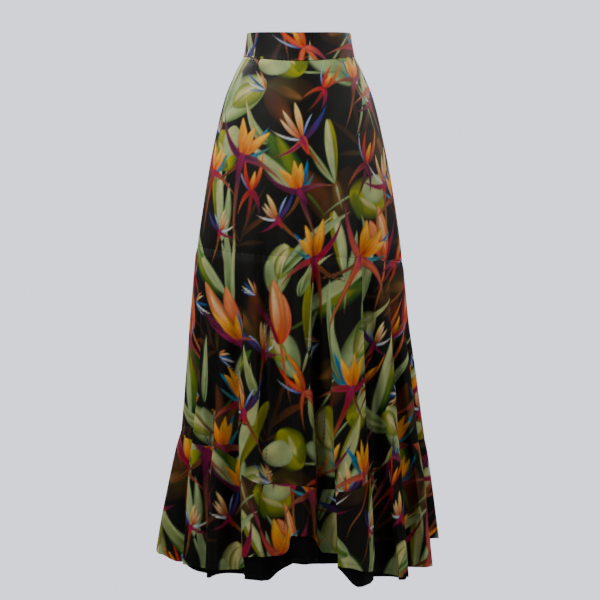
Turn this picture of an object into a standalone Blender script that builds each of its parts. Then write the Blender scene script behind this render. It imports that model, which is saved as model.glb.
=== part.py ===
"""A tiered maxi skirt, filled out as it is worn, modelled in its own frame.

Units are metres and +Z is up. The wearer's front faces -Y and the wearer's left is at +X. The
origin is on the body's axis at the height of the waist seam at the sides. Every cloth piece is a
stretch of one fluted tube: an oval section at each height, with flutes that grow towards the hem.
The closure is an invisible zip at the centre back, whose pull tab hangs from its slider.
"""

import math
from collections import namedtuple

import bmesh
import bpy
from mathutils import Matrix, Vector

# Cloth
WALL = 0.0016  # thickness of every cloth wall
SEAM_GAP = 0.0004  # between pieces sewn together, up and down or along

# Angles run round the body in degrees, from the centre front towards the wearer's left.
LEFT_SIDE = 90.0
RIGHT_SIDE = -90.0
CENTRE_BACK = 180.0
FULL_TURN = 360.0
FRONT_SPAN = (RIGHT_SIDE, LEFT_SIDE)
BACK_LEFT_SPAN = (LEFT_SIDE, CENTRE_BACK)
BACK_RIGHT_SPAN = (CENTRE_BACK, RIGHT_SIDE + FULL_TURN)
BACK_SPAN = (LEFT_SIDE, RIGHT_SIDE + FULL_TURN)

# Columns and rows of the walls. The middle tier and both flounces share a column count, so that
# they meet point to point in the lower seam.
BAND_GRID = (30, 2)
HALF_BAND_GRID = (15, 2)
UPPER_GRID = (44, 6)
HALF_UPPER_GRID = (22, 6)
UPPER_CROWD = 1.5  # draws the upper tier's rows towards the waist, where it curves most
FLUTED_GRID = (90, 5)
UNDER_GRID = (90, 4)

# The oval that the flutes stand on, at each height
Section = namedtuple("Section", "height half_width half_depth")
SECTIONS = (
    Section(0.055, 0.1035, 0.0900),
    Section(0.000, 0.1130, 0.0965),
    Section(-0.030, 0.1275, 0.1055),
    Section(-0.085, 0.1500, 0.1230),
    Section(-0.190, 0.1745, 0.1420),
    Section(-0.290, 0.1920, 0.1550),
    Section(-0.400, 0.2068, 0.1660),
    Section(-0.610, 0.2235, 0.1790),
    Section(-0.760, 0.2338, 0.1890),
    Section(-0.900, 0.2430, 0.2020),
    Section(-1.060, 0.2500, 0.2140),
)

# Flutes, each a ridge that starts at its top height and is deepest at the hem. Its middle runs from
# top_angle to hem_angle, its foot is half_angle to each side, and the outer part of that, given by
# flank, slopes. It leans sideways by lean x depth, towards the wearer's left if positive. A growth
# under 1 springs out fast below its top, and one over 1 opens slowly.
Flute = namedtuple("Flute", "hem_angle top_angle half_angle flank top depth growth lean")
FLUTES = (
    Flute(-77.0, -77.0, 17.0, 1.0, -0.745, 0.044, 0.68, -0.2),
    Flute(-56.0, -60.0, 8.0, 1.0, -0.560, 0.018, 1.0, -0.5),
    Flute(-40.0, -46.0, 12.5, 0.9, -0.370, 0.027, 1.2, -0.1),
    Flute(-15.5, -29.0, 11.0, 0.7, -0.330, 0.036, 1.2, -0.4),
    Flute(0.5, -7.0, 6.5, 0.9, -0.300, 0.026, 1.0, 0.3),
    Flute(24.5, 21.0, 12.0, 0.6, -0.290, 0.040, 1.2, -0.5),
    Flute(49.0, 50.0, 8.5, 0.8, -0.350, 0.033, 1.1, -0.3),
    Flute(67.0, 68.0, 10.5, 0.75, -0.520, 0.035, 1.0, -0.1),
    Flute(86.0, 86.0, 11.0, 1.0, -0.440, 0.038, 1.4, 0.1),
    Flute(108.0, 106.0, 12.0, 0.8, -0.420, 0.030, 1.1, 0.4),
    Flute(129.0, 130.0, 10.0, 0.9, -0.560, 0.022, 0.9, 0.3),
    Flute(150.0, 147.0, 12.0, 0.6, -0.310, 0.038, 1.2, 0.5),
    Flute(172.0, 170.0, 10.5, 0.9, -0.500, 0.024, 1.0, 0.2),
    Flute(-166.0, -168.0, 12.0, 0.6, -0.340, 0.036, 1.2, -0.5),
    Flute(-143.0, -141.0, 11.0, 0.8, -0.540, 0.026, 1.0, 0.3),
    Flute(-120.0, -122.0, 12.0, 0.7, -0.380, 0.034, 1.2, -0.4),
    Flute(-100.0, -100.0, 8.5, 1.0, -0.600, 0.020, 0.9, 0.2),
)
HEM_LEVEL = -1.02  # where a flute reaches its full depth

# Seams and hems, each a height at some angles, with a smooth line between them
Knot = namedtuple("Knot", "angle height")
BAND_TOP = (Knot(-90, 0.0470), Knot(0, 0.0420), Knot(90, 0.0470), Knot(180, 0.0490))
WAIST_SEAM = (Knot(-90, 0.0000), Knot(0, -0.0150), Knot(90, 0.0000), Knot(180, 0.0030))
UPPER_SEAM = (Knot(-90, -0.382), Knot(0, -0.405), Knot(90, -0.412), Knot(180, -0.398))
LOWER_SEAM = (
    Knot(-90, -0.756),
    Knot(-42, -0.782),
    Knot(-14, -0.848),
    Knot(24, -0.864),
    Knot(58, -0.778),
    Knot(90, -0.770),
    Knot(180, -0.800),
)
PRINT_HEM = (
    Knot(-90, -0.978),
    Knot(-80, -0.988),
    Knot(-73, -0.999),
    Knot(-66, -1.012),
    Knot(-56, -1.014),
    Knot(-48, -1.021),
    Knot(-29, -1.018),
    Knot(-24, -0.991),
    Knot(-6.5, -0.988),
    Knot(-4, -0.950),
    Knot(4, -0.950),
    Knot(15, -0.990),
    Knot(22, -1.010),
    Knot(34, -1.022),
    Knot(47, -1.035),
    Knot(54, -1.035),
    Knot(58, -1.021),
    Knot(74, -1.020),
    Knot(81, -0.970),
    Knot(88, -0.971),
    Knot(108, -1.004),
    Knot(129, -1.018),
    Knot(150, -1.030),
    Knot(172, -1.016),
    Knot(194, -1.032),
    Knot(217, -1.014),
    Knot(240, -1.020),
)
UNDER_HEM = (
    Knot(-90, -0.964),
    Knot(-62, -1.000),
    Knot(-46, -1.036),
    Knot(-32, -1.026),
    Knot(-20, -1.033),
    Knot(-8, -1.036),
    Knot(-4.5, -1.004),
    Knot(18, -1.007),
    Knot(28, -1.048),
    Knot(34, -1.046),
    Knot(39, -1.035),
    Knot(50, -1.040),
    Knot(60, -1.012),
    Knot(86, -0.956),
    Knot(110, -1.000),
    Knot(150, -1.040),
    Knot(172, -1.024),
    Knot(194, -1.040),
    Knot(240, -1.026),
)

# A length that changes from start, at a piece's top seam, to end, from settle below it. A swell is
# how far a tier stands off the oval, and a sink how far the black flounce lies inside the printed one.
Change = namedtuple("Change", "start end settle")
NONE = Change(0.0, 0.0, 0.02)
MIDDLE_SWELL = Change(0.0, 0.0020, 0.02)
FLOUNCE_SWELL = Change(0.0020, 0.0035, 0.03)
UNDER_SINK = Change(WALL + 0.0008, WALL + 0.0026, 0.05)

SHARP_ANGLE = math.radians(35.0)  # an edge that turns further than this is shaded sharp

# A look is a material's name, colour, roughness and metallic value.
PRINT_CLOTH = ("printed_cloth", (0.045, 0.042, 0.032), 0.62, 0.0)
BLACK_CLOTH = ("black_cloth", (0.006, 0.006, 0.007), 0.70, 0.0)
DARK_METAL = ("dark_metal", (0.055, 0.050, 0.048), 0.35, 1.0)

# Zip at the centre back: a slider on the band, its bail, and a drop-shaped tab that hangs in the bail
SLIDER_WIDTH = 0.0070
SLIDER_LENGTH = 0.0110
SLIDER_DEPTH = 0.0024
SLIDER_EDGE = 0.0006
SLIDER_CLEAR = 0.0005  # from the cloth to the slider's back
HINGE_HEIGHT = 0.0365
HINGE_ABOVE_SLIDER_FOOT = 0.0035
HINGE_OFF_SLIDER = 0.00150
BAIL_WIDTH = 0.0024
BAIL_BAR = 0.0009
BAIL_OPENING = 0.0025
TAB_THICKNESS = 0.0012
TAB_LENGTH = 0.0230
TAB_HEAD_RADIUS = 0.0029
TAB_DROP_RADIUS = 0.0040
TAB_EYE_FOOT = 0.0036  # from the hinge down to the end of the tab's eye
TAB_EYE_HALF_WIDTH = 0.0016
TAB_EYE_END = 0.35  # the eye's width at its ends, as a share of its full width
TAB_EYE_ROUNDING = 1.8  # how fast the eye widens from its ends
TAB_POINTS = 36  # round the tab's outline, and round its eye


def clear_scene():
    for thing in list(bpy.data.objects):
        bpy.data.objects.remove(thing)


def finish(name, colour, roughness, metallic):
    """The named material, made once."""
    material = bpy.data.materials.get(name) or bpy.data.materials.new(name)
    material.use_nodes = True
    shader = material.node_tree.nodes["Principled BSDF"]
    shader.inputs["Base Color"].default_value = (*colour, 1.0)
    shader.inputs["Roughness"].default_value = roughness
    shader.inputs["Metallic"].default_value = metallic
    return material


def smooth(share):
    """0 to 1 with level ends."""
    share = min(max(share, 0.0), 1.0)
    return share * share * (3.0 - 2.0 * share)


def turn_between(angle, other):
    """The shorter way round from other to angle, in degrees."""
    return (angle - other + 180.0) % FULL_TURN - 180.0


def line_height(line, angle):
    """Height of a seam or hem at this angle."""
    knots = sorted((knot.angle % FULL_TURN, knot.height) for knot in line)
    knots = [(knots[-1][0] - FULL_TURN, knots[-1][1])] + knots + [(knots[0][0] + FULL_TURN, knots[0][1])]
    angle %= FULL_TURN
    for (start, first), (end, second) in zip(knots, knots[1:]):
        if start <= angle <= end:
            return first + (second - first) * smooth((angle - start) / (end - start))
    raise ValueError(f"no knots round {angle}")


def oval(height):
    """Half width and half depth at this height, on a smooth curve through the sections."""
    last = len(SECTIONS) - 1
    low = next((i for i in range(1, last) if SECTIONS[i].height <= height), last)
    above, below = SECTIONS[low - 1], SECTIONS[low]
    before, after = SECTIONS[max(low - 2, 0)], SECTIONS[min(low + 1, last)]
    span = below.height - above.height
    share = (height - above.height) / span
    square, cube = share * share, share ** 3
    sizes = []
    for column in ("half_width", "half_depth"):
        start, end = getattr(above, column), getattr(below, column)
        slope_start = (end - getattr(before, column)) / (below.height - before.height) * span
        slope_end = (getattr(after, column) - start) / (after.height - above.height) * span
        size = (2 * cube - 3 * square + 1) * start + (cube - 2 * square + share) * slope_start
        sizes.append(size + (3 * square - 2 * cube) * end + (cube - square) * slope_end)
    return sizes


def amount(change, drop):
    """The changing length at this drop below the seam."""
    return change.start + (change.end - change.start) * smooth(drop / change.settle)


def cloth_point(angle, height, swell, seam_height):
    """The printed cloth's outer face at this angle and height."""
    half_width, half_depth = oval(height)
    proud, along = amount(swell, seam_height - height), 0.0
    for flute in FLUTES:
        if height >= flute.top:
            continue
        fall = (flute.top - height) / (flute.top - HEM_LEVEL)
        middle = flute.top_angle + (flute.hem_angle - flute.top_angle) * min(fall, 1.0)
        foot = 1.0 - abs(turn_between(angle, middle)) / flute.half_angle
        out = flute.depth * fall ** flute.growth * smooth(foot / flute.flank)
        proud += out
        along += out * flute.lean
    turn = math.radians(angle)
    outward = Vector((math.sin(turn) / half_width, -math.cos(turn) / half_depth, 0.0)).normalized()
    sideways = Vector((-outward.y, outward.x, 0.0))
    rim = Vector((half_width * math.sin(turn), -half_depth * math.cos(turn), height))
    return rim + outward * proud + sideways * along


def facing(angle, height, swell, seam_height):
    """The outward direction square to the cloth, from points a little to each side."""
    beside, beneath = 0.2, 0.002
    across = cloth_point(angle + beside, height, swell, seam_height)
    across -= cloth_point(angle - beside, height, swell, seam_height)
    up = cloth_point(angle, height + beneath, swell, seam_height)
    up -= cloth_point(angle, height - beneath, swell, seam_height)
    return across.cross(up).normalized()


def solid_from(name, sheet, look):
    """A scene object from a finished bmesh, smoothly shaded between its edges."""
    mesh = bpy.data.meshes.new(name)
    sheet.to_mesh(mesh)
    sheet.free()
    piece = bpy.data.objects.new(name, mesh)
    bpy.context.scene.collection.objects.link(piece)
    mesh.materials.append(finish(*look))
    mesh.shade_smooth()
    mesh.set_sharp_from_angle(angle=SHARP_ANGLE)
    return piece


def wall(name, span, top, bottom, grid, look, swell=NONE, sink=NONE, crowd=1.0):
    """Cloth between two angles and two lines, as a closed wall on a grid of columns and rows.

    Its outer face lies by sink inside the printed cloth's, and its inner face a wall further in.
    A crowd over 1 draws the rows up towards the top seam. Twisted faces are split across their
    shorter diagonal, so that two walls split alike where they meet.
    """
    columns, rows = grid
    trim = math.degrees(0.5 * SEAM_GAP / oval(top[0].height)[1])
    sheet = bmesh.new()
    bmesh.ops.create_grid(sheet, x_segments=columns, y_segments=rows, size=0.5)
    grown = bmesh.ops.extrude_face_region(sheet, geom=sheet.faces[:])
    outer = [part for part in grown["geom"] if isinstance(part, bmesh.types.BMVert)]
    bmesh.ops.translate(sheet, vec=(0.0, 0.0, 1.0), verts=outer)
    for corner in sheet.verts:
        across, down, through = corner.co.x + 0.5, (0.5 - corner.co.y) ** crowd, 1.0 - corner.co.z
        angle = span[0] + trim + (span[1] - span[0] - 2.0 * trim) * across
        start = line_height(top, angle) - 0.5 * SEAM_GAP
        end = line_height(bottom, angle) + 0.5 * SEAM_GAP
        height = start + (end - start) * down
        depth = amount(sink, start - height) + WALL * through
        corner.co = cloth_point(angle, height, swell, start) - facing(angle, height, swell, start) * depth
    bmesh.ops.triangulate(sheet, faces=sheet.faces[:], quad_method="SHORT_EDGE")
    solid_from(name, sheet, look)


def zip_slider(back_face, tilt):
    """The slider, laid against the band, with its bail; they turn with the band's slope."""
    place = Matrix.Translation((0.0, back_face, HINGE_HEIGHT)) @ Matrix.Rotation(tilt, 4, "X")
    face = SLIDER_CLEAR + SLIDER_DEPTH
    sheet = bmesh.new()
    bmesh.ops.create_cube(sheet, size=1.0)
    bmesh.ops.scale(sheet, vec=(SLIDER_WIDTH, SLIDER_DEPTH, SLIDER_LENGTH), verts=sheet.verts)
    middle = (0.0, face - 0.5 * SLIDER_DEPTH, 0.5 * SLIDER_LENGTH - HINGE_ABOVE_SLIDER_FOOT)
    bmesh.ops.translate(sheet, vec=middle, verts=sheet.verts)
    bmesh.ops.bevel(
        sheet, geom=sheet.edges[:], offset=SLIDER_EDGE, segments=2, profile=0.5, affect="EDGES", material=-1
    )
    bmesh.ops.transform(sheet, matrix=place, verts=sheet.verts)
    slider = solid_from("zip_slider", sheet, DARK_METAL)

    reach = face + HINGE_OFF_SLIDER + 0.5 * BAIL_OPENING
    inner, outer = 0.5 * BAIL_OPENING, 0.5 * BAIL_OPENING + BAIL_BAR
    root = face - 0.5 * SLIDER_DEPTH
    hoop = bmesh.new()
    outline = (
        (root, outer), (reach + BAIL_BAR, outer), (reach + BAIL_BAR, -outer), (root, -outer),
        (root, -inner), (reach, -inner), (reach, inner), (root, inner),
    )
    side = hoop.faces.new([hoop.verts.new((-0.5 * BAIL_WIDTH, out, up)) for out, up in outline])
    grown = bmesh.ops.extrude_face_region(hoop, geom=[side])
    far = [part for part in grown["geom"] if isinstance(part, bmesh.types.BMVert)]
    bmesh.ops.translate(hoop, vec=(BAIL_WIDTH, 0.0, 0.0), verts=far)
    bmesh.ops.transform(hoop, matrix=place, verts=hoop.verts)
    bmesh.ops.recalc_face_normals(hoop, faces=hoop.faces)
    bail = solid_from("bail_shape", hoop, DARK_METAL)
    bail.hide_render = True
    bail.display_type = "WIRE"
    join = slider.modifiers.new("bail", "BOOLEAN")
    join.operation = "UNION"
    join.object = bail


def tab_half_width(down):
    """Half the tab's width this far below its top: a small round head that widens to a round drop."""
    drop_middle = TAB_LENGTH - TAB_DROP_RADIUS
    if down < TAB_HEAD_RADIUS:
        return math.sqrt(max(TAB_HEAD_RADIUS ** 2 - (TAB_HEAD_RADIUS - down) ** 2, 0.0))
    if down > drop_middle:
        return math.sqrt(max(TAB_DROP_RADIUS ** 2 - (down - drop_middle) ** 2, 0.0))
    share = (down - TAB_HEAD_RADIUS) / (drop_middle - TAB_HEAD_RADIUS)
    return TAB_HEAD_RADIUS + (TAB_DROP_RADIUS - TAB_HEAD_RADIUS) * share


def zip_tab(hinge):
    """The pull tab, a flat drop with an eye, hanging from the hinge with its origin on the hinge."""
    sheet = bmesh.new()
    top = 0.5 * TAB_THICKNESS
    loops = []
    for eye in (False, True):
        ring = []
        for step in range(TAB_POINTS):
            turn = 2.0 * math.pi * (step + 0.5) / TAB_POINTS
            share = 0.5 - 0.5 * math.cos(turn)
            if eye:
                height = -top - (TAB_EYE_FOOT - top) * share
                width = TAB_EYE_HALF_WIDTH * min(1.0, TAB_EYE_ROUNDING * abs(math.sin(turn)) + TAB_EYE_END)
            else:
                height = top - TAB_LENGTH * share
                width = tab_half_width(TAB_LENGTH * share)
            ring.append(sheet.verts.new((math.copysign(width, math.sin(turn)), -top, height)))
        loops += [sheet.edges.new((a, b)) for a, b in zip(ring, ring[1:] + ring[:1])]
    plate = bmesh.ops.bridge_loops(sheet, edges=loops)["faces"]
    grown = bmesh.ops.extrude_face_region(sheet, geom=plate)
    far = [part for part in grown["geom"] if isinstance(part, bmesh.types.BMVert)]
    bmesh.ops.translate(sheet, vec=(0.0, TAB_THICKNESS, 0.0), verts=far)
    bmesh.ops.recalc_face_normals(sheet, faces=sheet.faces)
    solid_from("zip_tab", sheet, DARK_METAL).location = hinge


def waistband():
    wall("waistband_front", FRONT_SPAN, BAND_TOP, WAIST_SEAM, BAND_GRID, PRINT_CLOTH)
    wall("waistband_back_left", BACK_LEFT_SPAN, BAND_TOP, WAIST_SEAM, HALF_BAND_GRID, PRINT_CLOTH)
    wall("waistband_back_right", BACK_RIGHT_SPAN, BAND_TOP, WAIST_SEAM, HALF_BAND_GRID, PRINT_CLOTH)


def upper_tier():
    for name, span, grid in (
        ("upper_tier_front", FRONT_SPAN, UPPER_GRID),
        ("upper_tier_back_left", BACK_LEFT_SPAN, HALF_UPPER_GRID),
        ("upper_tier_back_right", BACK_RIGHT_SPAN, HALF_UPPER_GRID),
    ):
        wall(name, span, WAIST_SEAM, UPPER_SEAM, grid, PRINT_CLOTH, crowd=UPPER_CROWD)


def middle_tier():
    for name, span in (("middle_tier_front", FRONT_SPAN), ("middle_tier_back", BACK_SPAN)):
        wall(name, span, UPPER_SEAM, LOWER_SEAM, FLUTED_GRID, PRINT_CLOTH, MIDDLE_SWELL)


def flounce():
    for name, span in (("flounce_front", FRONT_SPAN), ("flounce_back", BACK_SPAN)):
        wall(name, span, LOWER_SEAM, PRINT_HEM, FLUTED_GRID, PRINT_CLOTH, FLOUNCE_SWELL)


def under_flounce():
    for name, span in (("under_flounce_front", FRONT_SPAN), ("under_flounce_back", BACK_SPAN)):
        wall(name, span, LOWER_SEAM, UNDER_HEM, UNDER_GRID, BLACK_CLOTH, FLOUNCE_SWELL, UNDER_SINK)


def zip_closure():
    """The slider and tab at the centre back of the band."""
    back_face = oval(HINGE_HEIGHT)[1]
    rise = 0.005
    tilt = math.atan((oval(HINGE_HEIGHT - rise)[1] - oval(HINGE_HEIGHT + rise)[1]) / (2.0 * rise))
    off = SLIDER_CLEAR + SLIDER_DEPTH + HINGE_OFF_SLIDER
    zip_slider(back_face, tilt)
    zip_tab((0.0, back_face + off * math.cos(tilt), HINGE_HEIGHT + off * math.sin(tilt)))


def main():
    clear_scene()
    waistband()
    upper_tier()
    middle_tier()
    flounce()
    under_flounce()
    zip_closure()


main()
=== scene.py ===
"""Looks of a tiered maxi skirt: printed cloth, a black flounce under it, its sewing and its zip.

Lengths are metres and +Z is up. The wearer's front faces -Y and the wearer's left is at +X. Angles
run round the body in degrees, from the centre front towards the wearer's left. Every cloth piece is
a thin closed shell on one fluted tube, with creases of its own, and its print is painted on the flat
cloth before the piece is cut.
"""

import logging
import math
from dataclasses import dataclass
from enum import Enum
from typing import NamedTuple

import bmesh
import bpy
import numpy as np
from mathutils import Matrix, Vector


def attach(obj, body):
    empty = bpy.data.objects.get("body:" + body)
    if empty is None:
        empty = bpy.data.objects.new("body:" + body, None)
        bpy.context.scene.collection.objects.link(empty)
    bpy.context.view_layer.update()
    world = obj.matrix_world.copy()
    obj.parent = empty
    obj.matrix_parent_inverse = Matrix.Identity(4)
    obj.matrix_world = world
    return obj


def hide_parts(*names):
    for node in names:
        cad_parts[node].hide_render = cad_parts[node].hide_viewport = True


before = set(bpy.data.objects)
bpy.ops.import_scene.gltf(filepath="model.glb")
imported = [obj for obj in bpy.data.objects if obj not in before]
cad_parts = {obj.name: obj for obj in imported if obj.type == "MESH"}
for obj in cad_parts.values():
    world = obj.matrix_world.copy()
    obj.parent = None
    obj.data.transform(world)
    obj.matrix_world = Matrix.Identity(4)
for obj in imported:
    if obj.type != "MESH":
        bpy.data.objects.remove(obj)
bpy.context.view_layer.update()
LOG = logging.getLogger("skirt")

FULL_TURN = 360.0
SKIRT_BODY = "skirt"
PRINT = "print"  # the colour attribute that holds the painted cloth
CLOTH_MAP = "cloth"  # the UV map in metres of flat cloth


class Finish(Enum):
    """Which cloth a panel is cut from."""

    PRINTED = "printed_cloth"
    BLACK = "black_cloth"


class Section(NamedTuple):
    """The oval under the flutes at one height."""

    height: float
    half_width: float
    half_depth: float


class Flute(NamedTuple):
    """A ridge that starts at its top height and is deepest at the hem."""

    hem_angle: float
    top_angle: float
    half_angle: float
    flank: float
    top: float
    depth: float
    growth: float
    lean: float


class Crease(NamedTuple):
    """A soft trough, or a ridge where its depth is negative, between two places on the cloth.

    Its wall towards the wearer's left is steeper where steep is above 0, and the other one below 0.
    """

    start_angle: float
    start_height: float
    end_angle: float
    end_height: float
    depth: float
    width: float
    steep: float = 0.0


class Change(NamedTuple):
    """A length that goes from start, at a piece's top seam, to end, from settle below it."""

    start: float
    end: float
    settle: float


class Side(Enum):
    """Stretches of the body that a piece goes round, as first and last angle."""

    FRONT = (-90.0, 90.0)
    BACK = (90.0, 270.0)
    BACK_LEFT = (90.0, 180.0)
    BACK_RIGHT = (180.0, 270.0)


SECTIONS = (
    Section(0.055, 0.1035, 0.0900),
    Section(0.000, 0.1130, 0.0965),
    Section(-0.030, 0.1275, 0.1055),
    Section(-0.085, 0.1500, 0.1230),
    Section(-0.190, 0.1745, 0.1420),
    Section(-0.290, 0.1920, 0.1550),
    Section(-0.400, 0.2068, 0.1660),
    Section(-0.610, 0.2235, 0.1790),
    Section(-0.760, 0.2338, 0.1890),
    Section(-0.900, 0.2430, 0.2020),
    Section(-1.060, 0.2500, 0.2140),
)
FLUTES = (
    Flute(-77.0, -77.0, 17.0, 1.0, -0.745, 0.044, 0.68, -0.2),
    Flute(-56.0, -60.0, 8.0, 1.0, -0.560, 0.018, 1.0, -0.5),
    Flute(-40.0, -46.0, 12.5, 0.9, -0.370, 0.027, 1.2, -0.1),
    Flute(-15.5, -29.0, 11.0, 0.7, -0.330, 0.036, 1.2, -0.4),
    Flute(0.5, -7.0, 6.5, 0.9, -0.300, 0.026, 1.0, 0.3),
    Flute(24.5, 21.0, 12.0, 0.6, -0.290, 0.040, 1.2, -0.5),
    Flute(49.0, 50.0, 8.5, 0.8, -0.350, 0.033, 1.1, -0.3),
    Flute(67.0, 68.0, 10.5, 0.75, -0.520, 0.035, 1.0, -0.1),
    Flute(86.0, 86.0, 11.0, 1.0, -0.440, 0.038, 1.4, 0.1),
    Flute(108.0, 106.0, 12.0, 0.8, -0.420, 0.030, 1.1, 0.4),
    Flute(129.0, 130.0, 10.0, 0.9, -0.560, 0.022, 0.9, 0.3),
    Flute(150.0, 147.0, 12.0, 0.6, -0.310, 0.038, 1.2, 0.5),
    Flute(172.0, 170.0, 10.5, 0.9, -0.500, 0.024, 1.0, 0.2),
    Flute(-166.0, -168.0, 12.0, 0.6, -0.340, 0.036, 1.2, -0.5),
    Flute(-143.0, -141.0, 11.0, 0.8, -0.540, 0.026, 1.0, 0.3),
    Flute(-120.0, -122.0, 12.0, 0.7, -0.380, 0.034, 1.2, -0.4),
    Flute(-100.0, -100.0, 8.5, 1.0, -0.600, 0.020, 0.9, 0.2),
)
HEM_LEVEL = -1.02

CREASES = (
    Crease(7.0, -0.285, 10.0, -1.000, 0.0287, 0.0165, -0.70),
    Crease(-21.0, -0.320, -8.2, -1.000, 0.0237, 0.0132, 0.30),
    Crease(37.5, -0.290, 38.5, -1.060, 0.0254, 0.0143, -0.60),
    Crease(-31.0, -0.420, -28.0, -1.040, 0.0254, 0.0143, 0.70),
    Crease(-50.0, -0.560, -50.0, -1.040, 0.0203, 0.0110, -0.50),
    Crease(-65.0, -0.480, -62.0, -1.020, 0.0169, 0.0110, 0.40),
    Crease(-38.0, -0.820, -38.5, -1.050, 0.0050, 0.0060, 0.00),
    Crease(14.5, -0.840, 13.5, -1.050, 0.0186, 0.0099, 0.60),
    Crease(58.5, -0.400, 58.0, -1.050, 0.0220, 0.0121, -0.60),
    Crease(44.0, -0.780, 43.5, -1.050, 0.0060, 0.0070, 0.50),
    Crease(76.0, -0.520, 77.0, -1.040, 0.0186, 0.0110, -0.30),
    Crease(24.0, -0.600, 26.0, -0.860, -0.0030, 0.0203, 0.0000),
    Crease(-44.0, -0.330, -45.0, -0.800, 0.0045, 0.0140, 0.00),
    Crease(97.0, -0.480, 96.0, -1.030, 0.0203, 0.0121, 0.50),
    Crease(118.0, -0.500, 118.5, -1.040, 0.0220, 0.0132, -0.60),
    Crease(138.5, -0.340, 138.0, -1.050, 0.0254, 0.0143, 0.60),
    Crease(161.5, -0.330, 161.0, -1.050, 0.0254, 0.0143, -0.50),
    Crease(150.0, -0.840, 152.0, -1.050, 0.0050, 0.0060, 0.00),
    Crease(182.0, -0.460, 182.5, -1.050, 0.0220, 0.0121, 0.40),
    Crease(206.0, -0.340, 205.0, -1.050, 0.0254, 0.0154, 0.65),
    Crease(228.5, -0.460, 228.0, -1.050, 0.0220, 0.0132, -0.60),
    Crease(250.0, -0.520, 250.5, -1.040, 0.0203, 0.0121, 0.50),
    Crease(240.0, -0.860, 241.0, -1.050, 0.0050, 0.0060, 0.00),
)


def smooth(share: np.ndarray) -> np.ndarray:
    """0 to 1 with level ends."""
    share = np.clip(share, 0.0, 1.0)
    return share * share * (3.0 - 2.0 * share)


def turn_between(angle: np.ndarray, other: np.ndarray) -> np.ndarray:
    """The shorter way round from other to angle, in degrees."""
    return (angle - other + 0.5 * FULL_TURN) % FULL_TURN - 0.5 * FULL_TURN


@dataclass(frozen=True)
class Line:
    """A seam or hem that goes round the body, smooth between its knots of angle and height."""

    knots: tuple[tuple[float, float], ...]

    def height(self, angle: np.ndarray) -> np.ndarray:
        """Heights of the line.

        Args:
            angle: Where to read it, in degrees.

        Returns:
            One height for each angle.
        """
        ordered = sorted((at % FULL_TURN, height) for at, height in self.knots)
        (last, last_height), (first, first_height) = ordered[-1], ordered[0]
        ordered = [(last - FULL_TURN, last_height), *ordered, (first + FULL_TURN, first_height)]
        angles, heights = np.array(ordered).T
        at = np.asarray(angle) % FULL_TURN
        low = np.clip(np.searchsorted(angles, at, side="right") - 1, 0, len(angles) - 2)
        share = smooth((at - angles[low]) / (angles[low + 1] - angles[low]))
        return heights[low] + (heights[low + 1] - heights[low]) * share


def line(*knots: tuple[float, float]) -> Line:
    """A line through these knots."""
    return Line(knots)


BAND_TOP = line((-90, 0.0470), (0, 0.0420), (90, 0.0470), (180, 0.0490))
WAIST_SEAM = line((-90, 0.0000), (0, -0.0150), (90, 0.0000), (180, 0.0030))
UPPER_SEAM = line((-90, -0.382), (0, -0.405), (90, -0.412), (180, -0.398))
LOWER_SEAM = line(
    (-90, -0.756), (-42, -0.782), (-14, -0.848), (24, -0.864), (58, -0.778), (90, -0.770), (180, -0.800)
)
PRINT_HEM = line(
    (-90, -0.978), (-80, -0.988), (-73, -0.999), (-66, -1.012), (-56, -1.014), (-48, -1.021),
    (-29, -1.018), (-24, -0.991), (-6.5, -0.988), (-4, -0.950), (4, -0.950), (15, -0.990),
    (22, -1.010), (34, -1.022), (47, -1.035), (54, -1.035), (58, -1.021), (74, -1.020), (81, -0.970),
    (88, -0.971), (108, -1.004), (129, -1.018), (150, -1.030), (172, -1.016), (194, -1.032),
    (217, -1.014), (240, -1.020),
)
UNDER_HEM = line(
    (-90, -0.964), (-62, -1.000), (-46, -1.036), (-32, -1.026), (-20, -1.033), (-8, -1.036),
    (-4.5, -1.004), (18, -1.007), (28, -1.048), (34, -1.046), (39, -1.035), (50, -1.040),
    (60, -1.012), (86, -0.956), (110, -1.000), (150, -1.040), (172, -1.024), (194, -1.040),
    (240, -1.026),
)


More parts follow.
